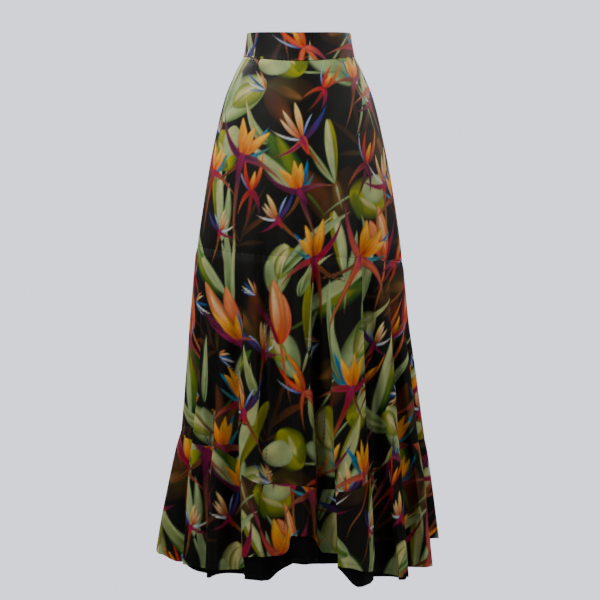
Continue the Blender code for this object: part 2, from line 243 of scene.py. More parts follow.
class FlutedForm:
    """The fluted tube that every cloth piece is a stretch of."""

    @staticmethod
    def oval(height: np.ndarray) -> tuple[np.ndarray, np.ndarray]:
        """The oval's half width and half depth.

        Args:
            height: Heights to read.

        Returns:
            Half widths and half depths, on a smooth curve through the sections.
        """
        rows = np.array(SECTIONS)
        last = len(rows) - 1
        low = 1 + np.searchsorted(-rows[1:last, 0], -np.asarray(height), side="left")
        above, below = rows[low - 1], rows[low]
        before, after = rows[np.maximum(low - 2, 0)], rows[np.minimum(low + 1, last)]
        span = below[..., :1] - above[..., :1]
        share = (np.asarray(height)[..., None] - above[..., :1]) / span
        square, cube = share ** 2, share ** 3
        start, end = above[..., 1:], below[..., 1:]
        slope_start = (end - before[..., 1:]) / (below[..., :1] - before[..., :1]) * span
        slope_end = (after[..., 1:] - start) / (after[..., :1] - above[..., :1]) * span
        sizes = (2 * cube - 3 * square + 1) * start + (cube - 2 * square + share) * slope_start
        sizes += (3 * square - 2 * cube) * end + (cube - square) * slope_end
        return sizes[..., 0], sizes[..., 1]

    def point(self, angle: np.ndarray, height: np.ndarray, proud: np.ndarray) -> np.ndarray:
        """Places on the cloth.

        Args:
            angle: Angles round the body.
            height: Heights.
            proud: How far the cloth stands off the oval there, before its flutes.

        Returns:
            An array of points, with the last axis x, y, z.
        """
        half_width, half_depth = self.oval(height)
        along = np.zeros_like(half_width)
        for flute in FLUTES:
            fall = np.clip((flute.top - height) / (flute.top - HEM_LEVEL), 0.0, None)
            middle = flute.top_angle + (flute.hem_angle - flute.top_angle) * np.minimum(fall, 1.0)
            foot = 1.0 - np.abs(turn_between(angle, middle)) / flute.half_angle
            out = flute.depth * fall ** flute.growth * smooth(foot / flute.flank)
            proud = proud + out
            along = along + out * flute.lean
        turn = np.radians(angle)
        outward = np.stack((np.sin(turn) / half_width, -np.cos(turn) / half_depth, 0 * half_width), -1)
        outward /= np.linalg.norm(outward, axis=-1, keepdims=True)
        sideways = np.stack((-outward[..., 1], outward[..., 0], 0 * half_width), -1)
        rim = np.stack((half_width * np.sin(turn), -half_depth * np.cos(turn), height + 0 * turn), -1)
        return rim + outward * proud[..., None] + sideways * along[..., None]


FORM = FlutedForm()


def amount(change: Change, drop: np.ndarray) -> np.ndarray:
    """The changing length at this drop below the seam."""
    return change.start + (change.end - change.start) * smooth(drop / change.settle)


class Wave(NamedTuple):
    """A slow wave of the cloth round the body."""

    count: int
    rise: float
    phase: float
    size: float


SLOW_WAVES = (Wave(7, 11.0, 0.3, 0.0007), Wave(13, -17.0, 1.9, 0.0006), Wave(23, 29.0, 4.1, 0.0004))
LOOSE_BELOW, LOOSE_OVER = 0.05, 0.6  # how far down the cloth starts to hang loose, and over what length
CREASE_RADIUS = 0.21  # the body's radius that turns a crease's width into an angle
CREASE_GROWTH = 0.40  # the share of its length over which a crease deepens
WANDER, WANDER_RATE = 0.6, 9.0  # how far a crease strays sideways, in degrees, and how often


def creased(angle: np.ndarray, height: np.ndarray) -> np.ndarray:
    """How far the creases and the cloth's slow waves move it outward.

    Args:
        angle: Angles round the body.
        height: Heights.

    Returns:
        One outward length for each place, negative in a trough.
    """
    moved = np.zeros_like(height)
    for crease in CREASES:
        fall = (crease.start_height - height) / (crease.start_height - crease.end_height)
        middle = crease.start_angle + (crease.end_angle - crease.start_angle) * np.clip(fall, 0.0, 1.0)
        wander = WANDER * np.sin(WANDER_RATE * fall + crease.start_angle)
        aside = np.radians(turn_between(angle, middle + wander)) * CREASE_RADIUS / crease.width
        aside /= 1.0 - crease.steep * np.sign(aside)
        moved -= crease.depth * smooth(fall / CREASE_GROWTH) * np.exp(-aside * aside)
    turn, loose = np.radians(angle), smooth(-(height + LOOSE_BELOW) / LOOSE_OVER)
    for wave in SLOW_WAVES:
        moved += wave.size * loose * np.sin(wave.count * turn + wave.rise * height + wave.phase)
    return moved


class Hue(Enum):
    """Dyes of the print, as display red, green and blue."""

    GROUND = (21, 20, 17)
    ORANGE = (238, 142, 22)
    YELLOW = (255, 196, 58)
    DEEP_ORANGE = (222, 74, 8)
    CRIMSON = (158, 12, 42)
    MAGENTA = (150, 30, 82)
    PLUM = (84, 22, 66)
    RED = (196, 40, 18)
    TEAL = (0, 128, 168)
    BLUE = (34, 62, 150)
    INDIGO = (38, 34, 84)
    ICE = (190, 206, 236)
    CELADON = (158, 178, 124)
    PALE_GREEN = (200, 198, 126)
    YELLOW_GREEN = (146, 148, 24)
    LEAF_GREEN = (72, 108, 34)
    DARK_GREEN = (26, 58, 16)
    CREAM = (240, 222, 160)
    TAN = (158, 102, 54)
    RUST = (112, 58, 28)
    BROWN = (72, 48, 26)
    UMBER = (50, 33, 18)
    OLIVE = (72, 66, 18)
    PEACH = (236, 146, 88)
    SALMON = (212, 92, 60)

    @property
    def light(self) -> np.ndarray:
        """The dye in scene light."""
        return (np.array(self.value) / 255.0) ** 2.2


class Part(NamedTuple):
    """One stroke of a motif, in shares of the motif's size, at rest pointing up."""

    heading: float
    length: float
    width: float
    bend: float
    peak: float
    root: Hue
    tip: Hue
    edge: Hue
    across: float = 0.0
    up: float = 0.0
    cover: float = 1.0
    rib: float = 0.0
    blur: float = 0.0
    round: float = 0.0


class Stroke(NamedTuple):
    """A painted petal, leaf or line on flat cloth. Its heading is clockwise from straight up."""

    part: Part
    across: float
    down: float
    heading: float
    length: float
    width: float
    bend: float
    soft: float
    phase: float


class Motif(Enum):
    """The print's motifs, each a list of strokes from back to front."""

    BLOOM = (
        Part(176, 1.20, 0.085, 0.14, 0.14, Hue.CRIMSON, Hue.TAN, Hue.RUST, rib=0.2),
        Part(150, 0.70, 0.060, -0.50, 0.20, Hue.RUST, Hue.BROWN, Hue.TAN, rib=0.2),
        Part(-44, 0.60, 0.090, 0.16, 0.40, Hue.INDIGO, Hue.TEAL, Hue.TEAL, rib=0.3),
        Part(-72, 0.46, 0.060, 0.30, 0.40, Hue.TEAL, Hue.LEAF_GREEN, Hue.TEAL),
        Part(-29, 0.50, 0.130, -0.10, 0.50, Hue.DEEP_ORANGE, Hue.YELLOW, Hue.ORANGE, rib=0.4),
        Part(14, 0.62, 0.155, 0.08, 0.46, Hue.DEEP_ORANGE, Hue.YELLOW, Hue.ORANGE, rib=0.4),
        Part(-9, 0.54, 0.150, -0.06, 0.40, Hue.RED, Hue.YELLOW, Hue.ORANGE, rib=0.5),
        Part(-84, 0.70, 0.105, -0.52, 0.15, Hue.CRIMSON, Hue.TAN, Hue.MAGENTA, rib=0.3, up=0.02),
        Part(62, 0.82, 0.110, -0.50, 0.17, Hue.CRIMSON, Hue.PLUM, Hue.MAGENTA, rib=0.3, up=0.01),
        Part(181, 0.40, 0.140, 0.04, 0.22, Hue.MAGENTA, Hue.CRIMSON, Hue.CRIMSON, up=0.08, rib=0.3),
    )
    SPRAY = (
        Part(172, 1.00, 0.070, -0.16, 0.20, Hue.RUST, Hue.TAN, Hue.TAN),
        Part(66, 0.80, 0.120, -0.34, 0.30, Hue.PLUM, Hue.BLUE, Hue.INDIGO, rib=0.3),
        Part(30, 0.56, 0.045, 0.20, 0.50, Hue.BLUE, Hue.ICE, Hue.BLUE),
        Part(-44, 0.54, 0.080, 0.30, 0.45, Hue.CRIMSON, Hue.CREAM, Hue.PEACH, rib=0.3),
        Part(-20, 0.58, 0.095, 0.10, 0.50, Hue.RED, Hue.CREAM, Hue.TAN, rib=0.4),
        Part(3, 0.66, 0.110, -0.08, 0.55, Hue.DEEP_ORANGE, Hue.CREAM, Hue.YELLOW, rib=0.4),
        Part(-84, 0.50, 0.040, 0.46, 0.40, Hue.ICE, Hue.CREAM, Hue.ICE),
        Part(-128, 0.52, 0.095, 0.55, 0.24, Hue.MAGENTA, Hue.PLUM, Hue.CRIMSON, rib=0.3),
        Part(178, 0.34, 0.140, 0.02, 0.25, Hue.MAGENTA, Hue.RED, Hue.CRIMSON, up=0.06),
    )
    FLAME = (
        Part(172, 0.90, 0.085, 0.24, 0.20, Hue.CRIMSON, Hue.BROWN, Hue.RUST),
        Part(-62, 0.66, 0.060, 0.60, 0.35, Hue.BLUE, Hue.ICE, Hue.INDIGO),
        Part(-40, 0.70, 0.110, 0.50, 0.35, Hue.CRIMSON, Hue.DEEP_ORANGE, Hue.RED, rib=0.3),
        Part(30, 0.78, 0.110, -0.46, 0.35, Hue.CRIMSON, Hue.ORANGE, Hue.RED, rib=0.3),
        Part(-6, 0.50, 0.120, 0.16, 0.45, Hue.RED, Hue.YELLOW, Hue.DEEP_ORANGE, rib=0.4),
        Part(128, 0.56, 0.120, 0.60, 0.24, Hue.CRIMSON, Hue.PLUM, Hue.MAGENTA, rib=0.3),
        Part(-120, 0.60, 0.110, -0.62, 0.24, Hue.CRIMSON, Hue.TAN, Hue.RED, rib=0.3),
    )
    CUP = (
        Part(186, 0.90, 0.040, 0.18, 0.30, Hue.CELADON, Hue.OLIVE, Hue.LEAF_GREEN),
        Part(0, 1.00, 0.560, 0.06, 0.54, Hue.CELADON, Hue.PALE_GREEN, Hue.LEAF_GREEN, rib=0.1, round=1.0),
        Part(-10, 0.74, 0.300, -0.08, 0.50, Hue.LEAF_GREEN, Hue.CELADON, Hue.CELADON,
             across=-0.08, up=0.06, cover=0.75, blur=0.060, round=1.0),
        Part(16, 0.66, 0.380, 0.10, 0.55, Hue.YELLOW_GREEN, Hue.YELLOW_GREEN, Hue.LEAF_GREEN,
             across=0.03, up=0.34, cover=0.85, blur=0.020, round=1.0),
        Part(10, 0.50, 0.160, 0.12, 0.50, Hue.PALE_GREEN, Hue.CREAM, Hue.PALE_GREEN,
             across=0.02, up=0.42, cover=0.7, blur=0.050, round=1.0),
        Part(4, 0.80, 0.030, 0.10, 0.50, Hue.DARK_GREEN, Hue.LEAF_GREEN, Hue.LEAF_GREEN,
             up=0.08, cover=0.5, blur=0.015),
    )
    SHIELD = (
        Part(150, 0.90, 0.036, -0.20, 0.30, Hue.CELADON, Hue.OLIVE, Hue.LEAF_GREEN, up=0.1),
        Part(
            0, 0.90, 0.800, 0.04, 0.46, Hue.YELLOW_GREEN, Hue.YELLOW_GREEN, Hue.DARK_GREEN, round=1.0, rib=0.3
        ),
        Part(-24, 0.72, 0.520, -0.10, 0.50, Hue.CELADON, Hue.PALE_GREEN, Hue.CELADON,
             across=-0.05, up=0.28, cover=0.9, blur=0.015, round=1.0),
        Part(10, 0.56, 0.140, 0.08, 0.50, Hue.CREAM, Hue.PALE_GREEN, Hue.CELADON,
             across=0.05, up=0.20, cover=0.5, blur=0.040),
        Part(46, 0.46, 0.240, 0.20, 0.50, Hue.DARK_GREEN, Hue.LEAF_GREEN, Hue.LEAF_GREEN,
             up=0.06, cover=0.6, blur=0.060, round=1.0),
    )
    BROAD_LEAF = (
        Part(180, 0.50, 0.040, 0.10, 0.30, Hue.LEAF_GREEN, Hue.BROWN, Hue.LEAF_GREEN),
        Part(0, 1.20, 0.420, 0.14, 0.44, Hue.DARK_GREEN, Hue.LEAF_GREEN, Hue.DARK_GREEN, rib=0.35),
        Part(3, 0.96, 0.200, 0.12, 0.44, Hue.LEAF_GREEN, Hue.YELLOW_GREEN, Hue.LEAF_GREEN,
             across=0.03, up=0.10, cover=0.85, blur=0.060, rib=0.2),
        Part(-7, 1.18, 0.200, 0.10, 0.40, Hue.CELADON, Hue.PALE_GREEN, Hue.CELADON,
             across=-0.06, cover=0.9, blur=0.030, rib=0.2),
    )
    TWIN_BLADE = (
        Part(180, 0.60, 0.040, -0.08, 0.30, Hue.CELADON, Hue.TAN, Hue.CELADON),
        Part(-26, 0.90, 0.150, 0.20, 0.45, Hue.CELADON, Hue.CELADON, Hue.LEAF_GREEN, rib=0.2),
        Part(7, 1.42, 0.220, -0.06, 0.62, Hue.OLIVE, Hue.YELLOW_GREEN, Hue.YELLOW_GREEN, rib=0.25, round=0.7),
        Part(-2, 1.34, 0.170, 0.05, 0.58, Hue.CELADON, Hue.PALE_GREEN, Hue.CELADON, rib=0.2, round=0.6),
    )
    BLADE = (
        Part(0, 1.40, 0.190, 0.20, 0.34, Hue.LEAF_GREEN, Hue.CELADON, Hue.CELADON, rib=0.2),
        Part(2, 1.10, 0.070, 0.15, 0.40, Hue.CELADON, Hue.PALE_GREEN, Hue.CELADON,
             across=-0.02, up=0.08, cover=0.8, blur=0.015),
    )
    HOOK = (
        Part(-30, 1.10, 0.240, 0.52, 0.30, Hue.LEAF_GREEN, Hue.PALE_GREEN, Hue.CELADON, rib=0.2),
        Part(-29, 0.90, 0.080, 0.40, 0.34, Hue.CELADON, Hue.PALE_GREEN, Hue.LEAF_GREEN,
             up=0.06, cover=0.8, blur=0.020),
    )
    BUD = (
        Part(182, 1.20, 0.055, 0.05, 0.20, Hue.SALMON, Hue.RUST, Hue.TAN),
        Part(-17, 0.80, 0.300, 0.10, 0.46, Hue.RED, Hue.PEACH, Hue.SALMON, rib=0.3, round=0.7),
        Part(8, 1.06, 0.330, -0.04, 0.52, Hue.DEEP_ORANGE, Hue.PEACH, Hue.TAN, rib=0.4, round=0.4),
        Part(5, 0.80, 0.150, -0.03, 0.52, Hue.PEACH, Hue.CREAM, Hue.PEACH,
             across=0.03, up=0.14, cover=0.8, blur=0.030),
        Part(26, 0.92, 0.100, 0.16, 0.30, Hue.CRIMSON, Hue.PLUM, Hue.MAGENTA, across=0.03, rib=0.4),
    )
    GHOST = (
        Part(188, 0.60, 0.030, 0.10, 0.30, Hue.BROWN, Hue.UMBER, Hue.UMBER, blur=0.008),
        Part(
            -18, 0.94, 0.520, -0.06, 0.48, Hue.OLIVE, Hue.UMBER, Hue.UMBER, cover=0.9, blur=0.020, round=0.9
        ),
        Part(20, 0.92, 0.400, 0.10, 0.52, Hue.BROWN, Hue.RUST, Hue.UMBER, cover=0.8, blur=0.015, round=0.6),
        Part(-4, 0.60, 0.200, 0.04, 0.50, Hue.BROWN, Hue.TAN, Hue.OLIVE,
             across=-0.10, up=0.14, cover=0.6, blur=0.060, round=1.0),
    )
    GHOST_BRANCH = (
        Part(0, 1.10, 0.070, 0.16, 0.40, Hue.UMBER, Hue.BROWN, Hue.UMBER, cover=0.9, blur=0.008),
        Part(-34, 0.70, 0.085, -0.16, 0.45, Hue.BROWN, Hue.UMBER, Hue.UMBER, up=0.10, cover=0.9, blur=0.008),
        Part(30, 0.66, 0.095, 0.18, 0.45, Hue.UMBER, Hue.RUST, Hue.BROWN, up=0.20, cover=0.9, blur=0.008),
        Part(58, 0.50, 0.080, 0.22, 0.45, Hue.BROWN, Hue.UMBER, Hue.UMBER, up=0.06, cover=0.9, blur=0.008),
        Part(-60, 0.46, 0.075, -0.20, 0.45, Hue.OLIVE, Hue.UMBER, Hue.BROWN, up=0.04, cover=0.9, blur=0.008),
    )
    FAN = (
        Part(-54, 0.90, 0.085, 0.30, 0.40, Hue.INDIGO, Hue.ICE, Hue.BLUE),
        Part(-30, 1.05, 0.080, 0.16, 0.40, Hue.ICE, Hue.CREAM, Hue.ICE),
        Part(-8, 1.00, 0.095, 0.06, 0.40, Hue.INDIGO, Hue.BLUE, Hue.TEAL),
        Part(16, 0.95, 0.080, -0.12, 0.40, Hue.PEACH, Hue.CREAM, Hue.TAN),
        Part(42, 0.80, 0.085, -0.26, 0.40, Hue.RUST, Hue.PEACH, Hue.TAN),
    )


WINES = (Hue.CRIMSON, Hue.PLUM, Hue.CRIMSON, Hue.MAGENTA, Hue.CRIMSON, Hue.SALMON, Hue.RUST)


class Scatter(NamedTuple):
    """How one motif is strewn over a repeat of the print."""

    motif: Motif
    count: int
    size: float
    tilt: float
    swing: float
    middle: float  # from its root to its middle, in shares of its size


@dataclass(frozen=True)
class Yardage:
    """The printed cloth before it is cut: one repeat of flowers and leaves on a dark ground."""

    width: float = 0.68
    height: float = 0.78
    seed: int = 7
    tries: int = 60  # places tried for a motif, of which the emptiest is kept
    kinship: float = 1.9  # how much further it stays from its own kind
    uneven: float = 0.24  # of a motif's size
    finest: float = 0.0050  # the thinnest stroke's width
    softest: float = 0.0018  # the width of the sharpest stroke's edge
    loose_heading: float = 6.0  # how much a stroke strays from its motif, in degrees
    loose_length: float = 0.12
    loose_bend: float = 0.05
    hairline: float = 1e-5
    edge_dye: float = 0.80  # how much of a stroke's edge dye shows at its edge
    midrib_width: float = 0.0016
    midrib: float = 0.5  # how much each mark darkens or lightens a stroke
    streaks: float = 0.22
    blots: float = 0.16
    roundness: float = 0.24
    rim: float = 0.22
    shade_range: tuple[float, float] = (0.35, 1.7)
    show_through: float = 0.55
    bare_fibre: float = 0.008
    scatter: tuple[Scatter, ...] = (
        Scatter(Motif.GHOST, 8, 0.115, 0.0, 120.0, 0.5),
        Scatter(Motif.GHOST_BRANCH, 6, 0.140, 0.0, 60.0, 0.5),
        Scatter(Motif.BROAD_LEAF, 6, 0.135, 15.0, 60.0, 0.6),
        Scatter(Motif.CUP, 8, 0.135, 0.0, 60.0, 0.5),
        Scatter(Motif.SHIELD, 4, 0.118, 20.0, 90.0, 0.5),
        Scatter(Motif.TWIN_BLADE, 7, 0.125, 4.0, 24.0, 0.7),
        Scatter(Motif.BLADE, 8, 0.118, 0.0, 34.0, 0.7),
        Scatter(Motif.HOOK, 7, 0.110, 0.0, 60.0, 0.5),
        Scatter(Motif.BUD, 4, 0.115, 0.0, 22.0, 0.5),
        Scatter(Motif.FLAME, 9, 0.100, 0.0, 40.0, 0.1),
        Scatter(Motif.SPRAY, 11, 0.102, 0.0, 28.0, 0.1),
        Scatter(Motif.FAN, 8, 0.050, 0.0, 100.0, 0.5),
        Scatter(Motif.BLOOM, 12, 0.120, 0.0, 24.0, 0.1),
    )

    def strokes(self) -> list[Stroke]:
        """Strews the motifs over one repeat.

        Returns:
            Every stroke, from the deepest to the last painted.
        """
        draw = np.random.default_rng(self.seed)
        repeat = np.array((self.width, self.height))
        middles, kinds, made = np.empty((0, 2)), [], []
        for strewn in self.scatter:
            for _ in range(strewn.count):
                tried = draw.uniform(0.0, 1.0, (self.tries, 2)) * repeat
                if kinds:
                    apart = tried[:, None] - middles[None]
                    apart -= repeat * np.rint(apart / repeat)
                    weight = [self.kinship if kind is strewn.motif else 1.0 for kind in kinds]
                    tried = tried[np.argmax((np.linalg.norm(apart, axis=-1) / weight).min(axis=1))][None]
                middles, kinds = np.vstack((middles, tried[:1])), [*kinds, strewn.motif]
                heading = strewn.tilt + draw.uniform(-strewn.swing, strewn.swing)
                size = strewn.size * (1.0 + draw.uniform(-self.uneven, self.uneven))
                back = strewn.middle * size
                across = tried[0, 0] - back * math.sin(math.radians(heading))
                down = tried[0, 1] + back * math.cos(math.radians(heading))
                made += self.motif(strewn.motif, across, down, heading, size, draw)
        return made

    def motif(
        self, kind: Motif, across: float, down: float, heading: float, size: float, draw: np.random.Generator
    ) -> list[Stroke]:
        """One motif's strokes.

        Args:
            kind: Which motif.
            across: Its root's place across the cloth.
            down: Its root's place down the cloth.
            heading: Its turn, clockwise from straight up.
            size: Its unit length.
            draw: The source of its small differences.

        Returns:
            Strokes from back to front.
        """
        flip = 1.0 if draw.random() < 0.5 else -1.0
        turn = math.radians(heading)
        dyed = {Hue.CRIMSON: WINES[draw.integers(len(WINES))]}
        made = []
        for part in kind.value:
            vary = draw.uniform(-1.0, 1.0, 4)
            aside, up = flip * part.across * size, part.up * size
            hues = {place: getattr(part, place) for place in ("root", "tip", "edge")}
            dyes = {place: dyed.get(hue, hue) for place, hue in hues.items()}
            made.append(Stroke(
                part=part._replace(**dyes),
                across=across + aside * math.cos(turn) + up * math.sin(turn),
                down=down + aside * math.sin(turn) - up * math.cos(turn),
                heading=heading + flip * part.heading + self.loose_heading * vary[0],
                length=part.length * size * (1.0 + self.loose_length * vary[1]),
                width=max(part.width * size, self.finest),
                bend=flip * (part.bend + self.loose_bend * vary[2]),
                soft=max(self.softest, part.blur * size),
                phase=math.pi * vary[3],
            ))
        return made

    def paint(self, across: np.ndarray, down: np.ndarray) -> np.ndarray:
        """Colours of the cloth.

        Args:
            across: Places across the cloth.
            down: Places down the cloth.

        Returns:
            Red, green and blue in scene light for each place.
        """
        colour = np.tile(Hue.GROUND.light, (len(across), 1))
        for stroke in self.strokes():
            self.lay(colour, stroke, across, down)
        return colour

    def wrong_side(self, face: np.ndarray) -> np.ndarray:
        """The paler, greyer colours that show through to the cloth's wrong side."""
        grey = face.mean(axis=1, keepdims=True)
        return self.show_through * (0.5 * face + 0.5 * grey) + self.bare_fibre

    def lay(self, colour: np.ndarray, stroke: Stroke, across: np.ndarray, down: np.ndarray) -> None:
        """Paints one stroke, and its copies in the other repeats, over the colours so far.

        Args:
            colour: The colours so far, changed in place.
            stroke: What to paint.
            across: Places across the cloth.
            down: Places down the cloth.
        """
        right, up = across - stroke.across, stroke.down - down
        right -= self.width * np.rint(right / self.width)
        up -= self.height * np.rint(up / self.height)
        reach = stroke.length * (1.0 + abs(stroke.bend)) + stroke.width
        near = np.flatnonzero((np.abs(right) < reach) & (np.abs(up) < reach))
        right, up = right[near], up[near]
        turn = math.radians(stroke.heading)
        share = (right * math.sin(turn) + up * math.cos(turn)) / stroke.length
        bow = stroke.bend * stroke.length * share * np.abs(share)
        side = right * math.cos(turn) - up * math.sin(turn) - bow
        inside = np.clip(share, 0.0, 1.0)
        swell = np.sin(np.pi * inside ** (math.log(0.5) / math.log(stroke.part.peak)))
        half = 0.5 * stroke.width * swell ** (0.95 - 0.45 * stroke.part.round)
        mask = np.clip((half - np.abs(side)) / stroke.soft + 0.5, 0.0, 1.0)
        mask = mask * np.clip(half / stroke.soft, 0.0, 1.0)
        mask *= stroke.part.cover
        out = np.clip(side / np.maximum(half, self.hairline), -1.0, 1.0)
        colour[near] += (self.tint(stroke, inside, side, out) - colour[near]) * mask[:, None]

    def tint(self, stroke: Stroke, inside: np.ndarray, side: np.ndarray, out: np.ndarray) -> np.ndarray:
        """A stroke's own colours, with its midrib, streaks, blots and darker rim.

        Args:
            stroke: What is painted.
            inside: Places along it, from 0 at its root to 1 at its tip.
            side: Distances from its middle line.
            out: The same, from -1 to 1 at its edges.

        Returns:
            One colour for each place.
        """
        part = stroke.part
        tone = part.root.light + (part.tip.light - part.root.light) * smooth(inside)[:, None]
        tone = tone + (part.edge.light - tone) * (self.edge_dye * smooth(np.abs(out)) ** 2)[:, None]
        streaks = np.sin(8.5 * out + 3.0 * inside + stroke.phase) + 0.6 * np.sin(17.0 * out - 5.0 * inside)
        blots = np.sin(7.0 * inside + stroke.phase) * np.cos(2.6 * out - 2.0 * stroke.phase)
        midrib = np.exp(-(side / self.midrib_width) ** 2) * (1.0 - inside)
        shade = 1.0 + self.roundness * out * math.cos(stroke.phase) + self.blots * blots
        shade += part.rib * (self.streaks * streaks - self.midrib * midrib)
        shade -= self.rim * smooth(4.0 * np.abs(out) - 3.0)
        return tone * np.clip(shade, *self.shade_range)[:, None]


YARDAGE = Yardage()
Stops = tuple[tuple[float, tuple[float, ...]], ...]  # a ramp's places and colours


class Signal:
    """A shader value that goes through Python's operators as Math nodes."""

    def __init__(self, paint: "Paint", socket: bpy.types.NodeSocket) -> None:
        """Wraps one output socket."""
        self.paint = paint
        self.socket = socket

    def _with(self, operation: str, *values: "Signal | float") -> "Signal":
        """A Math node of these values."""
        inputs = dict(enumerate(values))
        return self.paint.signal("ShaderNodeMath", {"operation": operation}, inputs)

    def __add__(self, other: "Signal | float") -> "Signal":
        """Sum."""
        return self._with("ADD", self, other)

    def __sub__(self, other: "Signal | float") -> "Signal":
        """Difference."""
        return self._with("SUBTRACT", self, other)

    def __mul__(self, other: "Signal | float") -> "Signal":
        """Product."""
        return self._with("MULTIPLY", self, other)

    def clamped(self) -> "Signal":
        """Kept between 0 and 1."""
        return self._with("MINIMUM", self._with("MAXIMUM", self, 0.0), 1.0)


class Paint:
    """One material's nodes."""

    def __init__(self, name: str) -> None:
        """Starts a material whose Principled shader is ready to be fed.

        Args:
            name: The material's name.
        """
        self.material = bpy.data.materials.new(name)
        self.material.use_nodes = True
        self.tree = self.material.node_tree
        self.shader = self.tree.nodes["Principled BSDF"]

    def node(self, kind: str, settings: dict | None = None, inputs: dict | None = None) -> bpy.types.Node:
        """Adds a node.

        Args:
            kind: The node's type.
            settings: Its own settings, and a ramp's stops as (place, colour) pairs.
            inputs: Values or links for its sockets, by name or number.

        Returns:
            The node.
        """
        made = self.tree.nodes.new(kind)
        for name, value in (settings or {}).items():
            if name == "stops":
                ramp = made.color_ramp
                while len(ramp.elements) < len(value):
                    ramp.elements.new(1.0)
                for element, (place, colour) in zip(ramp.elements, value):
                    element.position, element.color = place, colour
            else:
                setattr(made, name, value)
        self.feed(made, inputs or {})
        return made

    def feed(self, node: bpy.types.Node, inputs: dict) -> None:
        """Sets or links a node's sockets.

        Args:
            node: The node.
            inputs: Values or links, by the sockets' names or numbers.
        """
        for name, value in inputs.items():
            if isinstance(value, Signal):
                self.tree.links.new(value.socket, node.inputs[name])
            else:
                node.inputs[name].default_value = value

    def signal(
        self, kind: str, settings: dict | None = None, inputs: dict | None = None, output: str | int = 0
    ) -> Signal:
        """Adds a node and wraps one of its outputs, with node's arguments and the output's name or number."""
        return Signal(self, self.node(kind, settings, inputs).outputs[output])

    def mix(
        self, factor: Signal | float, first: Signal | tuple, second: Signal | tuple, way: str = "MIX"
    ) -> Signal:
        """Blends two colours.

        Args:
            factor: How much of the second.
            first: The colour under it.
            second: The colour over it.
            way: The blend's name.

        Returns:
            The blended colour.
        """
        settings = {"data_type": "RGBA", "blend_type": way}
        made = self.node("ShaderNodeMix", settings, {0: factor, 6: first, 7: second})
        return Signal(self, made.outputs[2])

    def bump(self, height: Signal, strength: float, distance: float) -> Signal:
        """A normal from a height signal."""
        return self.signal(
            "ShaderNodeBump", None, {"Strength": strength, "Distance": distance, "Height": height}, "Normal"
        )


@dataclass(frozen=True)
class Cloth:
    """What both cloths share: a plain weave, its roughness and its relief."""

    threads: float  # in a metre
    grain: float  # the yarn's unevenness, from 0 to 1
    roughness: float
    rougher: float  # what slow unevenness adds to it
    gloss: float
    relief: float
    relief_depth: float = 0.0012
    thread_relief: float = 0.35  # the threads' share of the relief; the slow unevenness has the rest
    threads_in_wave: float = 20.0  # threads for each unit of the wave texture's scale
    patches: float = 38.0

    def weave(self, paint: Paint) -> tuple[Signal, Signal]:
        """A plain weave on the flat cloth's map.

        Args:
            paint: The material that it is for.

        Returns:
            The height of the threads and a slow unevenness, both from 0 to 1.
        """
        place = paint.signal("ShaderNodeUVMap", {"uv_map": CLOTH_MAP})
        yarn = {
            "Vector": place, "Scale": self.threads / self.threads_in_wave,
            "Distortion": 2.0 * self.grain, "Detail": 1.0, "Detail Scale": 2.0,
        }
        warp, weft = (
            paint.signal("ShaderNodeTexWave", {"wave_type": "BANDS", "bands_direction": way}, yarn, "Fac")
            for way in ("X", "Y")
        )
        patchy = {"Vector": place, "Scale": self.patches, "Detail": 3.0}
        return warp * 0.5 + weft * 0.5, paint.signal("ShaderNodeTexNoise", None, patchy, "Fac")

    def cover(self, paint: Paint, colour: Signal, height: Signal, slow: Signal) -> bpy.types.Material:
        """Gives a material its colour and the weave's relief.

        Args:
            paint: The material.
            colour: Its colour.
            height: The height of the threads.
            slow: The slow unevenness.

        Returns:
            The finished material.
        """
        relief = height * self.thread_relief + slow * (1.0 - self.thread_relief)
        paint.feed(paint.shader, {
            "Base Color": colour,
            "Roughness": (slow * self.rougher + self.roughness).clamped(),
            "Specular IOR Level": self.gloss,
            "Normal": paint.bump(relief, self.relief, self.relief_depth),
        })
        return paint.material


@dataclass(frozen=True)
class PrintedCloth(Cloth):
    """Soft woven cloth that carries the painted print."""

    threads: float = 2600.0
    grain: float = 0.5
    roughness: float = 0.52
    rougher: float = 0.16
    gloss: float = 0.18
    relief: float = 0.22
    sheen: float = 0.01
    sheen_roughness: float = 0.5
    wash: Stops = ((0.25, (0.80, 0.79, 0.78, 1.0)), (0.75, (1.10, 1.10, 1.08, 1.0)))
    # painted shade: darkens the print where the threads dip between each other, and a painted highlight
    # lightens it on their crowns
    yarn: Stops = ((0.0, (0.86, 0.86, 0.86, 1.0)), (1.0, (1.06, 1.06, 1.06, 1.0)))

    def material(self) -> bpy.types.Material:
        """The cloth's material.

        Returns:
            The painted print, washed in soft patches, with painted shade between the threads and a painted
            highlight on their crowns.
        """
        paint = Paint(Finish.PRINTED.value)
        colour = paint.signal("ShaderNodeVertexColor", {"layer_name": PRINT}, None, "Color")
        height, slow = self.weave(paint)
        # the wash's soft patches of tone, then the painted shade and highlight that follow the threads'
        # height
        for stops, by in ((self.wash, slow), (self.yarn, height)):
            tone = paint.signal("ShaderNodeValToRGB", {"stops": stops}, {"Fac": by}, "Color")
            colour = paint.mix(1.0, colour, tone, "MULTIPLY")
        paint.feed(paint.shader, {"Sheen Weight": self.sheen, "Sheen Roughness": self.sheen_roughness})
        return self.cover(paint, colour, height, slow)


@dataclass(frozen=True)
class BlackCloth(Cloth):
    """Plain black cloth of the flounce underneath."""

    threads: float = 2200.0
    grain: float = 0.4
    roughness: float = 0.62
    rougher: float = 0.14
    gloss: float = 0.09
    relief: float = 0.25
    dark: tuple[float, ...] = (0.0018, 0.0018, 0.0020, 1.0)
    faded: tuple[float, ...] = (0.0042, 0.0041, 0.0040, 1.0)

    def material(self) -> bpy.types.Material:
        """The cloth's material.

        Returns:
            A black weave that is faded in soft patches.
        """
        paint = Paint(Finish.BLACK.value)
        height, slow = self.weave(paint)
        return self.cover(paint, paint.mix(slow, self.dark, self.faded), height, slow)


